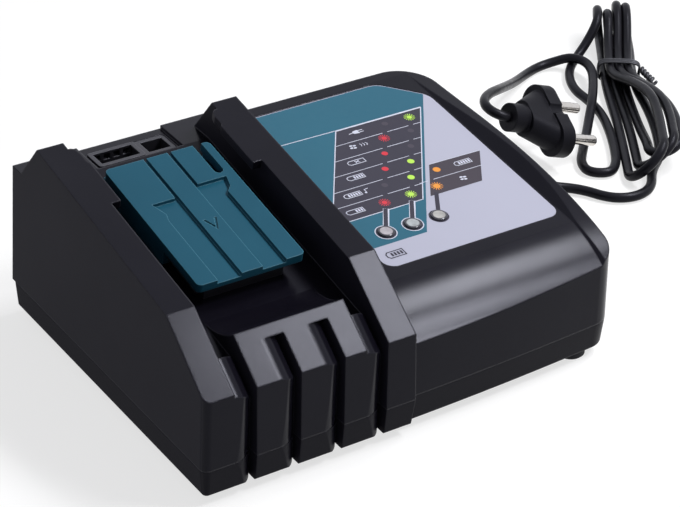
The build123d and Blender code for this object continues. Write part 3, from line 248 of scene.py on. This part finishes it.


# The paler colour given to edges() in each material is a painted edge highlight, partly rubbed wear.
housing = (Surface("housing_black", (0.0046, 0.0041, 0.0076), rough=0.195, specular=0.13)
           .mottle(22, (0.0080, 0.0074, 0.0118), 0.8).sheen_map(60, 0.012).matt_sides(0.66)
           .edges(0.0009, (0.05, 0.049, 0.06)).relief(2600, 0.00003, 0.4).relief(6400, 0.00002, 0.4))
tray = (Surface("tray_black", (0.0050, 0.0045, 0.0076), rough=0.36, specular=0.08)
        .mottle(25, (0.0074, 0.0069, 0.0104), 0.8).sheen_map(60, 0.015).matt_sides(0.70)
        .edges(0.0008, (0.04, 0.039, 0.048)).relief(1900, 0.00006, 0.6).relief(5200, 0.00003, 0.5))
rubber = Surface("foot_rubber", (0.014, 0.014, 0.015), rough=0.72, specular=0.3) \
    .mottle(160, (0.03, 0.03, 0.031), 0.7).edges(0.0005).relief(2600, 0.0001, 0.6)
zinc = Surface("zinc_steel", (0.62, 0.61, 0.58), rough=0.3, metal=1.0) \
    .mottle(400, (0.45, 0.44, 0.40), 0.8).sheen_map(900, 0.08).edges(0.0002).relief(4000, 0.00002, 0.4)
cover_teal = (Surface("cover_teal", (0.0118, 0.082, 0.130), rough=0.34, specular=0.13)
              .mottle(35, (0.0136, 0.091, 0.143), 0.8).sheen_map(80, 0.02)
              .edges(0.0006, (0.13, 0.36, 0.46)).relief(2100, 0.00005, 0.5).relief(5600, 0.00002, 0.5))
terminal_black = Surface("terminal_black", (0.012, 0.0115, 0.014), rough=0.42) \
    .mottle(60, (0.018, 0.018, 0.02), 0.7).edges(0.0004, (0.05, 0.05, 0.06)).relief(2600, 0.00004, 0.5)
brass = Surface("terminal_brass", (0.72, 0.52, 0.24), rough=0.28, metal=1.0) \
    .mottle(300, (0.6, 0.42, 0.18), 0.8).sheen_map(800, 0.08).relief(2600, 0.00001, 0.4, stretch=(1, 1, 12))
spring_wire = Surface("spring_steel", (0.55, 0.55, 0.56), rough=0.25, metal=1.0) \
    .mottle(500, (0.42, 0.42, 0.44), 0.8).sheen_map(1200, 0.08)
guard = (Surface("guard_black", (0.013, 0.0125, 0.016), rough=0.38)
         .mottle(60, (0.02, 0.019, 0.024), 0.7).edges(0.0005, (0.07, 0.07, 0.08))
         .relief(2200, 0.00004, 0.5))
fan_black = Surface("fan_black", (0.017, 0.017, 0.018), rough=0.4) \
    .mottle(80, (0.025, 0.025, 0.027), 0.7).sheen_map(500, 0.06).edges(0.0003).relief(2400, 0.00004, 0.5)
copper = Surface("copper_winding", (0.62, 0.25, 0.09), rough=0.3, metal=1.0) \
    .mottle(300, (0.45, 0.15, 0.05), 0.8).relief(2600, 0.00008, 0.8, stretch=(1, 8, 1))
tape = Surface("winding_tape", (0.62, 0.46, 0.06), rough=0.35, coat=0.2) \
    .mottle(120, (0.5, 0.35, 0.04), 0.8).sheen_map(400, 0.08).relief(900, 0.00006, 0.6, stretch=(1, 1, 9))
ferrite = Surface("ferrite", (0.035, 0.035, 0.037), rough=0.6) \
    .mottle(300, (0.06, 0.058, 0.055), 0.8).edges(0.0003).relief(3000, 0.00005, 0.8)
aluminium = Surface("sink_aluminium", (0.70, 0.70, 0.71), rough=0.38, metal=1.0) \
    .mottle(90, (0.58, 0.58, 0.6), 0.7).sheen_map(300, 0.09, stretch=(1, 1, 14)) \
    .relief(1400, 0.00003, 0.6, stretch=(1, 1, 16))
board_green = Surface("board_green", (0.012, 0.16, 0.075), rough=0.32, coat=0.25) \
    .mottle(130, (0.008, 0.10, 0.05), 0.9).sheen_map(500, 0.06) \
    .relief(420, 0.00004, 0.8, kind="DISTANCE_TO_EDGE", stretch=(1, 1, 0.01))
led_resin = Surface("led_resin", (0.72, 0.72, 0.66), rough=0.16, coat=0.3) \
    .mottle(400, (0.6, 0.6, 0.52), 0.7)
component = Surface("component_black", (0.02, 0.02, 0.021), rough=0.5) \
    .mottle(200, (0.035, 0.035, 0.036), 0.8).edges(0.0003, (0.08, 0.08, 0.08)).relief(3000, 0.00005, 0.6)
sleeve = Surface("capacitor_sleeve", (0.02, 0.035, 0.09), rough=0.3, coat=0.3) \
    .mottle(160, (0.012, 0.02, 0.06), 0.8).sheen_map(500, 0.07).edges(0.0004).relief(800, 0.00004, 0.5)
nylon = Surface("connector_nylon", (0.78, 0.76, 0.70), rough=0.42) \
    .mottle(160, (0.68, 0.66, 0.58), 0.8).edges(0.0003).relief(2400, 0.00004, 0.5)
wires = Surface("wire_insulation", (0.02, 0.02, 0.022), rough=0.35) \
    .mottle(200, (0.05, 0.05, 0.055), 0.7).sheen_map(600, 0.08).relief(2200, 0.00003, 0.4)
cord_pvc = (Surface("cord_pvc", (0.0060, 0.0058, 0.0078), rough=0.34, specular=0.13)
            .mottle(120, (0.0095, 0.0092, 0.0118), 0.8).sheen_map(420, 0.07)
            .relief(900, 0.00005, 0.5).relief(3600, 0.00003, 0.5))
plug_pvc = (Surface("plug_pvc", (0.0052, 0.0050, 0.0070), rough=0.45, specular=0.11)
            .mottle(60, (0.0070, 0.0067, 0.0092), 0.8).sheen_map(320, 0.06)
            .edges(0.0008, (0.03, 0.03, 0.036)).relief(1700, 0.00007, 0.7).relief(5200, 0.00003, 0.5))
tie_black = (Surface("tie_plastic", (0.02, 0.02, 0.022), rough=0.36)
             .mottle(200, (0.035, 0.035, 0.037), 0.8).edges(0.0003, (0.09, 0.09, 0.1))
             .relief(1500, 0.00005, 0.6))
nickel = Surface("nickel_pins", (0.70, 0.67, 0.63), rough=0.2, metal=1.0) \
    .mottle(240, (0.60, 0.55, 0.50), 0.8).sheen_map(700, 0.07).relief(2600, 0.000015, 0.5)
label_grey = (Surface("label_grey", (0.455, 0.46, 0.57), rough=0.36, specular=0.3,
                      coat=0.05, coat_rough=0.2)
              .mottle(9, (0.43, 0.435, 0.54), 0.7).sheen_map(240, 0.05).relief(1400, 0.00002, 0.5))


def ink(name, colour, other):
    """Printed colour of the label."""
    return (Surface(name, colour, rough=0.42, specular=0.25, coat=0.03, coat_rough=0.25)
            .mottle(14, other, 0.8).sheen_map(260, 0.05).relief(1500, 0.00002, 0.5))


ink_teal = ink("ink_teal", (0.0165, 0.112, 0.172), (0.019, 0.124, 0.188))
ink_white = ink("ink_white", (0.66, 0.68, 0.80), (0.60, 0.62, 0.74))
ink_dark = ink("ink_dark", (0.030, 0.027, 0.042), (0.036, 0.033, 0.050))
ink_brown = ink("ink_brown", (0.047, 0.038, 0.050), (0.056, 0.046, 0.060))
ink_dim = ink("ink_dim", (0.055, 0.048, 0.066), (0.066, 0.058, 0.080))
ink_red = ink("ink_red", (0.62, 0.035, 0.055), (0.70, 0.06, 0.08))
ink_green = ink("ink_green", (0.47, 0.78, 0.085), (0.55, 0.84, 0.16))
ink_amber = ink("ink_amber", (0.80, 0.30, 0.045), (0.86, 0.38, 0.08))

dress(housing, "upper_housing")
dress(tray, "lower_housing")
dress(rubber, "rubber_feet")
dress(zinc, "housing_screws", "board_screws")
dress(label_grey, "indicator_label")
dress(cover_teal, "terminal_cover")
dress(terminal_black, "terminal_block")
dress(brass, "power_terminals", "signal_contacts")
dress(spring_wire, "cover_spring")
dress(guard, "air_guard")
dress(fan_black, "fan_frame", "fan_impeller", "fan_duct")
dress(copper, "fan_motor", "line_choke")
dress(tape, "transformer_winding")
dress(ferrite, "transformer_core")
dress(aluminium, "heat_sinks")
dress(board_green, "main_board", "indicator_board")
dress(led_resin, "indicator_leds")
dress(component, "buzzer", "power_transistors")
dress(sleeve, "capacitors")
dress(nylon, "fuse_holder", "mains_connector", "output_connector")
dress(wires, "terminal_leads", "inner_mains_lead")
dress(plug_pvc, "cord_strain_relief", "plug_body")
dress(nickel, "plug_pins")

# Pale lenses with a dark collar.
lens_tints = ((0.50, 0.46, 0.50), (0.46, 0.49, 0.51), (0.50, 0.49, 0.47))
for name, tint, across in zip(LENSES, lens_tints, lens_places):
    darker = tuple(channel * 0.6 for channel in tint)
    resin = (Surface(name + "_resin", tint, rough=0.16, coat=0.6, coat_rough=0.06)
             .mottle(260, darker, 0.9).sheen_map(500, 0.05)
             .rim((across, LENS_ROW), 2.45, (0.02, 0.019, 0.026))
             .edges(0.0004).relief(520, 0.0002, 0.5, kind="F1"))
    dress(resin, name)


# ------------------------------------------------------------------ cord
def on_hank(along, across, height):
    """Point of the hank, from its place along the bundle, across it and above the floor."""
    way_x, way_y = HANK_WAY
    return (HANK_PLACE[0] + way_x * along + way_y * across,
            HANK_PLACE[1] + way_y * along - way_x * across, height)


def fold(end, way, first, second):
    """Points round one fold of the hank, from the run that goes out to the run that comes back."""
    middle_w, middle_z = (first[0] + second[0]) / 2, (first[1] + second[1]) / 2
    points = [(end - way * 0.15 * FOLD_RADIUS, *first)]
    for out, share in ((0.58, 1.0), (1.12, 0.42), (1.12, -0.42), (0.58, -1.0)):
        points.append((end + way * out * FOLD_RADIUS, middle_w + share * (first[0] - middle_w),
                       middle_z + share * (first[1] - middle_z)))
    return points + [(end - way * 0.15 * FOLD_RADIUS, *second)]


# The route's control points, listed from the strain relief over the floor to the hank.
route = [(115.0, 46.0, 16.0), (133.0, 46.0, 16.0), (147.0, 44.8, 3.6), (160.0, 37.0, 2.5),
         (166.5, 24.0, 2.4), (176.9, 19.1, 2.4), (188.1, 21.9, 2.4), (197.5, 34.0, 2.4)]
hank = [(-76, 13.2, 2.4), (-54, 13.6, 2.4), (-32, 11.4, 2.6), (-12, 7.0, 3.4)]
# One row a far loop: how far it reaches, its low and its high run, and the height of the high run.
far_loops = [(36, 7.6, 5.2, 19.4), (37, 3.2, 0.8, 19.8), (31, -1.4, -3.8, 18.0), (34, -6.2, -8.4, 18.4)]
# One row a near loop: how far it reaches, the runs out and back, and the height of each.
near_loops = [(-74, 21.0, 7.2, 13.0, 7.2), (-80.5, 17.0, 2.4, 17.5, 2.4), (-90, 11.5, -2.4, 19.2, 2.4)]
# Where the low and the high runs lie across the bundle inside the tie.
low_lanes = [6.6, 2.2, -2.2, -6.6]
high_lanes = [4.4, 0.0, -4.4]
for turn, (reach, low_w, high_w, high_z) in enumerate(far_loops):
    hank += [(8, low_lanes[turn], 3.4), (24, low_w, 2.4)]
    hank += fold(reach, 1, (low_w, 2.4), (high_w, high_z))
    if turn < len(near_loops):
        lane = high_lanes[turn]
        reach, out_w, back_w, out_z, back_z = near_loops[turn]
        hank += [(26, high_w, 14.8), (9, lane, 7.8), (-9, lane, 7.8),
                 (-27, lane + 0.5 * (out_w - lane), 0.55 * out_z + 3.6),
                 (-46, lane + 0.87 * (out_w - lane), out_z), (-62, out_w, out_z)]
        hank += fold(reach, -1, (out_w, out_z), (back_w, back_z))
        lane = low_lanes[turn + 1]
        hank += [(-50, 0.75 * back_w + 0.25 * lane, 2.5), (-26, 0.25 * back_w + 0.75 * lane, 2.6),
                 (-10, lane, 3.4)]
# The last run swings out beside the tie, round the loose loop on the floor and up to the plug.
hank += [(27.5, -9.6, 15.6), (23, -13.4, 9.0), (17.5, -18.0, 3.9), (9.5, -21.8, 2.4), (-2, -23.4, 2.4),
         (-15, -21.6, 2.4), (-25, -15.6, 2.4), (-38, -10.2, 2.5), (-56, -7.6, 2.4), (-73, -6.8, 2.4),
         (-84, -7.2, 2.4), (-92.5, -10.2, 2.4), (-92.5, -20.2, 2.4), (-84, -23.0, 2.4), (-73, -21.4, 2.4),
         (-58, -18.8, 2.4), (-45, -16.8, 3.4), (-34, -14.8, 7.0), (-14, -12.9, 6.9), (-3, -12.9, 7.0),
         (5, -15.5, 7.3), (9, -22.0, 7.3), (10, -29.5, 4.2), (7, -37.5, 2.4), (-1, -43.5, 2.6),
         (-16, -49.5, 6.0), (-36, -55.0, 14.0), (-57, -60.5, 23.0)]
route += [on_hank(*p) for p in hank]
route += [(149.2, 92.3, 26.6), (141.8, 86.2, 28.5), (138.4, 80.4, 28.8), (138.9, 75.3, 28.0)]
# The end of the cord goes straight into the neck of the plug.
plug_face = Vector((170.3, 70.9, 16.9))
plug_axis = Vector((0.9458, -0.0287, -0.3236)).normalized()
route += [tuple(plug_face - plug_axis * back) for back in (29.5, 24.5, 21.0)]

line = bpy.data.curves.new("mains_lead", "CURVE")
line.dimensions = "3D"
spline = line.splines.new("NURBS")
spline.points.add(len(route) - 1)
for point, (x, y, z) in zip(spline.points, route):
    point.co = (x * MM, y * MM, z * MM, 1.0)
spline.order_u = 3
spline.use_endpoint_u = True
spline.resolution_u = 8
line.bevel_depth = CORD_RADIUS * MM
line.bevel_resolution = 6
line.use_fill_caps = True
mains_lead = bpy.data.objects.new("mains_lead", line)
bpy.context.scene.collection.objects.link(mains_lead)
line.materials.append(cord_pvc.material)
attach(mains_lead, "charger")
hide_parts("power_cord", "cord_hank", "plug_lead")


def mesh_piece(name, bm, surface, smooth=False):
    """Makes a piece of the charger's body from a mesh under construction."""
    mesh = bpy.data.meshes.new(name)
    bm.to_mesh(mesh)
    bm.free()
    piece = bpy.data.objects.new(name, mesh)
    bpy.context.scene.collection.objects.link(piece)
    mesh.materials.append(surface.material)
    if smooth:
        mesh.shade_smooth()
    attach(piece, "charger")
    return piece


def tube(bm, path, radius, sides=8):
    """Round wire with tapered ends along points given in hank places."""
    points = [Vector(on_hank(*p)) * MM for p in path]
    rings = []
    side = None
    for i, point in enumerate(points):
        way = (points[min(i + 1, len(points) - 1)] - points[max(i - 1, 0)]).normalized()
        if side is None:
            side = way.orthogonal().normalized()
        side = (side - way * side.dot(way)).normalized()
        other = way.cross(side)
        size = radius * MM * (0.72 if i in (0, len(points) - 1) else 1.0)
        angles = [2 * math.pi * k / sides for k in range(sides)]
        rings.append([bm.verts.new(point + (side * math.cos(angle) + other * math.sin(angle)) * size)
                      for angle in angles])
    for low, high in zip(rings, rings[1:]):
        for k in range(sides):
            bm.faces.new((low[k], low[(k + 1) % sides], high[(k + 1) % sides], high[k]))
    bm.faces.new(rings[0][::-1])
    bm.faces.new(rings[-1])


def squared(value):
    """Turns a sine into the one of a rounded square."""
    return math.copysign(abs(value) ** 0.5, value)


bm = bmesh.new()
wrap = []
for k in range(TIE_TURNS * TIE_STEPS + 1):
    angle = 2 * math.pi * k / TIE_STEPS
    wrap.append((TIE_START + TIE_PITCH * k / TIE_STEPS, TIE_HALF_WIDTH * squared(math.cos(angle)),
                 TIE_MIDDLE + TIE_HALF_HEIGHT * squared(math.sin(angle))))
tube(bm, wrap, TIE_WIRE)
# The two ends wind round each other to the right of the hank and spread after TWIST_FLARE steps.
for half in (0.0, math.pi):
    twist = []
    for k in range(TWIST_STEPS + 1):
        along, angle = k / TWIST_STEPS, half + 2 * math.pi * TWIST_TURNS * k / TWIST_STEPS
        reach = 0.95 + 0.22 * max(k - TWIST_FLARE, 0)
        swing = 0.7 * reach * math.cos(angle)
        twist.append((-0.6 - 9.5 * along + swing, 10.4 + 5.4 * along + swing,
                      7.2 - 2.0 * along + reach * math.sin(angle)))
    tube(bm, twist, TWIST_WIRE)
wire_tie = mesh_piece("wire_tie", bm, tie_black, smooth=True)
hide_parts("cord_tie")


# ------------------------------------------------------------------ printed label
def label_point(x, y, layer):
    """Point over the printed side of the label, from its plan position in mm and its layer of ink."""
    rear_y, rear_z = LABEL_REAR
    return Vector((x, y, rear_z - LABEL_SLOPE * (rear_y - y) + LABEL_LAYER * layer)) * MM


def round_points(x, y, radius, steps):
    """Points round a circle."""
    return [(x + radius * math.cos(2 * math.pi * k / steps), y + radius * math.sin(2 * math.pi * k / steps))
            for k in range(steps)]


def rounded(corners, radii, steps=8):
    """Polygon with its corners rounded by tangent arcs."""
    points = []
    count = len(corners)
    for i, (corner, radius) in enumerate(zip(corners, radii)):
        c = Vector(corner)
        a = (Vector(corners[i - 1]) - c).normalized()
        b = (Vector(corners[(i + 1) % count]) - c).normalized()
        if radius <= 0:
            points.append(c)
            continue
        half = a.angle(b) / 2
        start = c + a * radius / math.tan(half)
        end = c + b * radius / math.tan(half)
        centre = c + (a + b).normalized() * radius / math.sin(half)
        u, v = start - centre, end - centre
        turn = math.atan2(u.x * v.y - u.y * v.x, u.dot(v))
        for k in range(steps + 1):
            angle = turn * k / steps
            points.append(centre + Vector((u.x * math.cos(angle) - u.y * math.sin(angle),
                                           u.x * math.sin(angle) + u.y * math.cos(angle))))
    return points


def clip(points, origin, inward):
    """Part of a convex polygon on one side of a line."""
    kept = []
    for i, p in enumerate(points):
        q = points[(i + 1) % len(points)]
        dp, dq = (p - origin).dot(inward), (q - origin).dot(inward)
        if dp >= 0:
            kept.append(p)
        if dp * dq < 0:
            kept.append(p + (q - p) * dp / (dp - dq))
    return kept


class Print:
    """Flat shapes of one ink, gathered into one piece. A higher layer lies over a lower one."""

    def __init__(self, name, surface, layer):
        self.name, self.surface, self.layer = name, surface, layer
        self.bm = bmesh.new()

    def shape(self, points):
        """One flat face that looks up, from its corners in plan."""
        verts = [self.bm.verts.new(label_point(p[0], p[1], self.layer)) for p in points]
        face = self.bm.faces.new(verts)
        face.normal_update()
        if face.normal.z < 0:
            face.normal_flip()
        return self

    def disc(self, x, y, radius):
        return self.shape(round_points(x, y, radius, 24))

    def ring(self, x, y, inner, outer, steps=32):
        low, high = round_points(x, y, inner, steps), round_points(x, y, outer, steps)
        for k in range(steps):
            after = (k + 1) % steps
            self.shape([low[k], high[k], high[after], low[after]])

    def box(self, x0, y0, x1, y1):
        return self.shape([(x0, y0), (x1, y0), (x1, y1), (x0, y1)])

    def stroke(self, points, width):
        """Thin line along points, one quad a run."""
        for p, q in zip(points, points[1:]):
            p, q = Vector(p), Vector(q)
            way = (q - p).normalized()
            side = Vector((-way.y, way.x)) * width / 2
            p, q = p - way * width / 2, q + way * width / 2
            self.shape([p + side, p - side, q - side, q + side])
        return self

    def done(self):
        return mesh_piece(self.name, self.bm, self.surface)


sheet_outline = rounded([(5.35, -40.4), (85.65, -40.4), (85.65, 51.2), (69.8, 66.8), (5.35, 66.8)],
                        [4.7, 4.7, 8.8, 8.8, 0.0])
# The teal field ends at the slanted split and over the pale strip at the front.
split_top, split_low = Vector((83.2, 51.1)), Vector((31.3, -27.8))
split_way = (split_top - split_low).normalized()
split_in = Vector((-split_way.y, split_way.x))
teal_area = clip(clip(sheet_outline, split_low, split_in), split_low, Vector((0, 1)))
Print("label_teal_field", ink_teal, 1).shape(teal_area).done()

# Main table: six rows between two slanted edges, nearly parallel to the split.
rows_top, rows_low, row_count = 44.8, -9.3, 6
table_left, top_left, top_right = 6.2, 36.2, 77.6
left_lean, right_lean = 0.666, 0.658


def left_edge(y):
    """X of the table's left edge, which turns upright at the corner."""
    return max(table_left, top_left + (y - rows_top) * left_lean)


def right_edge(y):
    """X of the table's right edge."""
    return top_right + (y - rows_top) * right_lean


corner_y = rows_top + (table_left - top_left) / left_lean
table = [(top_left, rows_top), (table_left, corner_y), (table_left, rows_low),
         (right_edge(rows_low), rows_low), (top_right, rows_top)]
Print("label_main_table", ink_dark, 2).shape(table).done()
small_table = [(57.6, 9.3), (45.9, -8.9), (70.6, -9.0), (82.0, 8.8)]
Print("label_small_table", ink_brown, 2).shape(small_table).done()

# Lines round the main table and above it, and along the top of the small one.
white = Print("label_white_lines", ink_white, 3)
white.stroke(table + table[:1], BORDER)
white.stroke([(5.6, 45.6), (top_left, 45.2), (top_right, 45.2)], BORDER)
white.stroke([small_table[0], small_table[3]], THIN)
# The lines between the rows leave gaps where the columns of marks pass.
for k in range(1, row_count):
    y = rows_top - (rows_top - rows_low) / row_count * k
    red_x, green_x = (x + (y - 27.7) * right_lean for x in (48.6, 61.3))
    white.stroke([(left_edge(y), y), (red_x - 1.2, y)], THIN)
    white.stroke([(red_x + 1.4, y), (green_x - 1.2, y)], THIN)
    white.stroke([(green_x + 1.4, y), (right_edge(y), y)], THIN)
white.stroke([(47.0, 0.1), (50.6, 0.1)], THIN)
white.stroke([(53.6, 0.1), (76.4, -0.1)], THIN)

# Stems from the tables to the lamps. The two on the teal field have a pale edge.
lenses = [(x, RING_ROW) for x in lens_places]
stem_tops = [(24.7, rows_low), (36.9, rows_low), (48.9, -8.9)]
edge = Print("label_stem_edges", ink_white, 4)
stems = Print("label_stems", ink_dark, 5)
for index, (lens, top) in enumerate(zip(lenses, stem_tops)):
    if index < 2:
        edge.stroke([top, lens], STEM_EDGE)
        edge.ring(*lens, *RING_EDGE)
    stems.stroke([(top[0], top[1] + 0.4), lens], STEM)
    stems.ring(*lens, *RING)
edge.done()
stems.done()


def burst(marks, x, y, core=1.15, end=2.25):
    """Dot with short rays, for a lamp that flashes."""
    start, rays = 1.55, 14
    marks.disc(x, y, core)
    for inner, outer in zip(round_points(x, y, start, rays), round_points(x, y, end, rays)):
        marks.stroke([inner, outer], SIGN)


# Coloured marks in the tables: lit, flashing or dim lamps.
red, green = Print("label_red_marks", ink_red, 4), Print("label_green_marks", ink_green, 4)
amber, dim = Print("label_amber_marks", ink_amber, 4), Print("label_dim_marks", ink_dim, 4)
burst(red, 51.5, 32.5)
red.disc(45.7, 23.3, 1.35).disc(39.9, 14.3, 1.4)
burst(red, 27.1, -4.6)
burst(green, 69.3, 40.8)
green.disc(52.2, 14.3, 1.5).disc(46.1, 5.1, 1.5)
burst(green, 39.6, -4.4, core=1.3)
amber.disc(58.4, 5.1, 1.6)
burst(amber, 52.0, -4.3, core=1.4, end=2.45)
for x, y in ((57.5, 41.1), (64.4, 32.4), (58.2, 23.2), (33.6, 5.1)):
    dim.disc(x, y, 1.35)
for marks in (red, green, amber, dim):
    marks.done()


def battery(x, y, bars):
    """Plain battery sign: a frame with a nose and some bars."""
    half, tall, nose, nose_half = 3.4, 1.25, 0.9, 0.55
    inset, pitch, bar_half, bar_tall = 0.9, 1.15, 0.38, 0.8
    white.stroke([(x - half, y - tall), (x + half, y - tall), (x + half, y + tall), (x - half, y + tall),
                  (x - half - nose, y + nose_half), (x - half - nose, y - nose_half),
                  (x - half, y - tall)], FRAME)
    for k in range(bars):
        middle = x + half - inset - pitch * k
        white.box(middle - bar_half, y - bar_tall, middle + bar_half, y + bar_tall)


def fan_sign(x, y):
    """Four blades round a point."""
    size, sides = 1.7, 9
    for k in range(4):
        way = math.pi / 2 * k + 0.5
        points = []
        for t in range(sides):
            angle = way + 2 * math.pi * t / sides
            points.append((x + size * 0.62 * math.cos(way) + size * 0.46 * math.cos(angle),
                           y + size * 0.62 * math.sin(way) + size * 0.30 * math.sin(angle)))
        white.shape(points)


def plug_sign(x, y):
    """Mains plug with two pins and its lead."""
    white.shape([(x - 1.9, y - 0.9), (x + 0.4, y - 1.2), (x + 0.4, y + 1.2), (x - 1.9, y + 0.9),
                 (x - 2.6, y)])
    white.stroke([(x + 0.5, y - 0.6), (x + 2.4, y - 0.6)], 0.4)
    white.stroke([(x + 0.5, y + 0.6), (x + 2.4, y + 0.6)], 0.4)
    white.stroke([(x - 2.5, y), (x - 4.0, y - 0.2)], 0.45)


# One sign a row, from the top, then those of the small table.
plug_sign(44.2, 41.0)
fan_sign(36.6, 32.6)
for k in range(3):
    white.stroke([(40.2 + 1.3 * k, 31.7), (40.6 + 1.3 * k, 32.5), (40.2 + 1.3 * k, 33.3)], SIGN)
battery(32.6, 23.3, 0)
white.stroke([(31.6, 22.7), (33.4, 23.9)], FRAME).stroke([(31.6, 23.9), (33.4, 22.7)], FRAME)
battery(26.6, 14.5, 4)
battery(19.0, 4.9, 5)
white.stroke([(24.6, 4.2), (24.6, 6.1), (26.2, 6.3)], SIGN).disc(24.2, 4.1, 0.5)
battery(14.0, -4.6, 3)
battery(71.3, 4.9, 5)
fan_sign(64.8, -4.3)
white.done()

# Plain charge bars on the pale strip under the table.
bars = Print("label_charge_bars", ink_dark, 4)
bars.stroke([(9.6, -35.9), (16.4, -35.9), (16.4, -32.3), (9.6, -32.3), (8.7, -33.3), (8.7, -34.9),
             (9.6, -35.9)], 0.5)
for k in range(4):
    bars.box(10.6 + 1.4 * k, -35.1, 11.5 + 1.4 * k, -33.1)
bars.done()


# ------------------------------------------------------------------ stage and light
def seen_rays(tree):
    """1 for rays from the camera, off gloss and through glass, and 0 for the rest."""
    path = tree.nodes.new("ShaderNodeLightPath")
    seen = path.outputs["Is Camera Ray"]
    for kind in ("Is Glossy Ray", "Is Transmission Ray"):
        both = tree.nodes.new("ShaderNodeMath")
        both.operation = "MAXIMUM"
        tree.links.new(seen, both.inputs[0])
        tree.links.new(path.outputs[kind], both.inputs[1])
        seen = both.outputs[0]
    return seen


def camera_white(tree, strength):
    """Adds plain white to what the camera, mirrors and glass see of a surface."""
    scaled = tree.nodes.new("ShaderNodeMath")
    scaled.operation = "MULTIPLY"
    scaled.inputs[1].default_value = strength
    tree.links.new(seen_rays(tree), scaled.inputs[0])
    glow = tree.nodes.new("ShaderNodeEmission")
    tree.links.new(scaled.outputs[0], glow.inputs["Strength"])
    total = tree.nodes.new("ShaderNodeAddShader")
    tree.links.new(tree.nodes["Principled BSDF"].outputs[0], total.inputs[0])
    tree.links.new(glow.outputs[0], total.inputs[1])
    tree.links.new(total.outputs[0], tree.nodes["Material Output"].inputs["Surface"])


# Floor, with its half width in metres.
reach = 6.0
floor_mesh = bpy.data.meshes.new("floor")
floor_mesh.from_pydata([(-reach, -reach, 0), (reach, -reach, 0), (reach, reach, 0), (-reach, reach, 0)],
                       [], [(0, 1, 2, 3)])
floor = bpy.data.objects.new("floor", floor_mesh)
bpy.context.scene.collection.objects.link(floor)
floor_material = bpy.data.materials.new("floor_white")
floor_material.use_nodes = True
floor_inputs = floor_material.node_tree.nodes["Principled BSDF"].inputs
floor_inputs["Base Color"].default_value = (0.34, 0.34, 0.345, 1)
floor_inputs["Roughness"].default_value = 0.9
floor_inputs["Specular IOR Level"].default_value = 0.1
camera_white(floor_material.node_tree, strength=0.70)
floor_mesh.materials.append(floor_material)

world = bpy.data.worlds.new("studio")
bpy.context.scene.world = world
world.use_nodes = True
tree = world.node_tree
background = tree.nodes["Background"]
background.inputs["Color"].default_value = (0.92, 0.94, 1.0, 1)
# The world gives the object a weak light, and is white where it is seen.
strength = tree.nodes.new("ShaderNodeMapRange")
strength.inputs["To Min"].default_value = 0.22
strength.inputs["To Max"].default_value = 1.0
tree.links.new(seen_rays(tree), strength.inputs["Value"])
tree.links.new(strength.outputs["Result"], background.inputs["Strength"])


def lamp(name, place, target, size, power):
    """Area lamp that looks at a target, in metres and watts."""
    data = bpy.data.lights.new(name, "AREA")
    data.shape = "RECTANGLE"
    data.size, data.size_y = size
    data.energy = power
    light = bpy.data.objects.new(name, data)
    bpy.context.scene.collection.objects.link(light)
    light.location = place
    light.rotation_euler = (Vector(target) - Vector(place)).to_track_quat("-Z", "Y").to_euler()


lamp("front_softbox", (0.57, -0.42, 1.0), (0.0, -0.02, 0.04), (0.31, 0.23), 7.0)
lamp("top_softbox", (0.62, -0.02, 1.06), (0.02, -0.02, 0.04), (0.31, 0.23), 7.4)
lamp("rear_softbox", (0.2, 1.2, 1.1), (0.02, 0.0, 0.03), (0.9, 0.6), 0.5)
lamp("side_fill", (-1.5, -0.6, 0.7), (0.0, 0.0, 0.04), (0.8, 0.8), 0.8)

bpy.context.scene.view_settings.view_transform = "Standard"
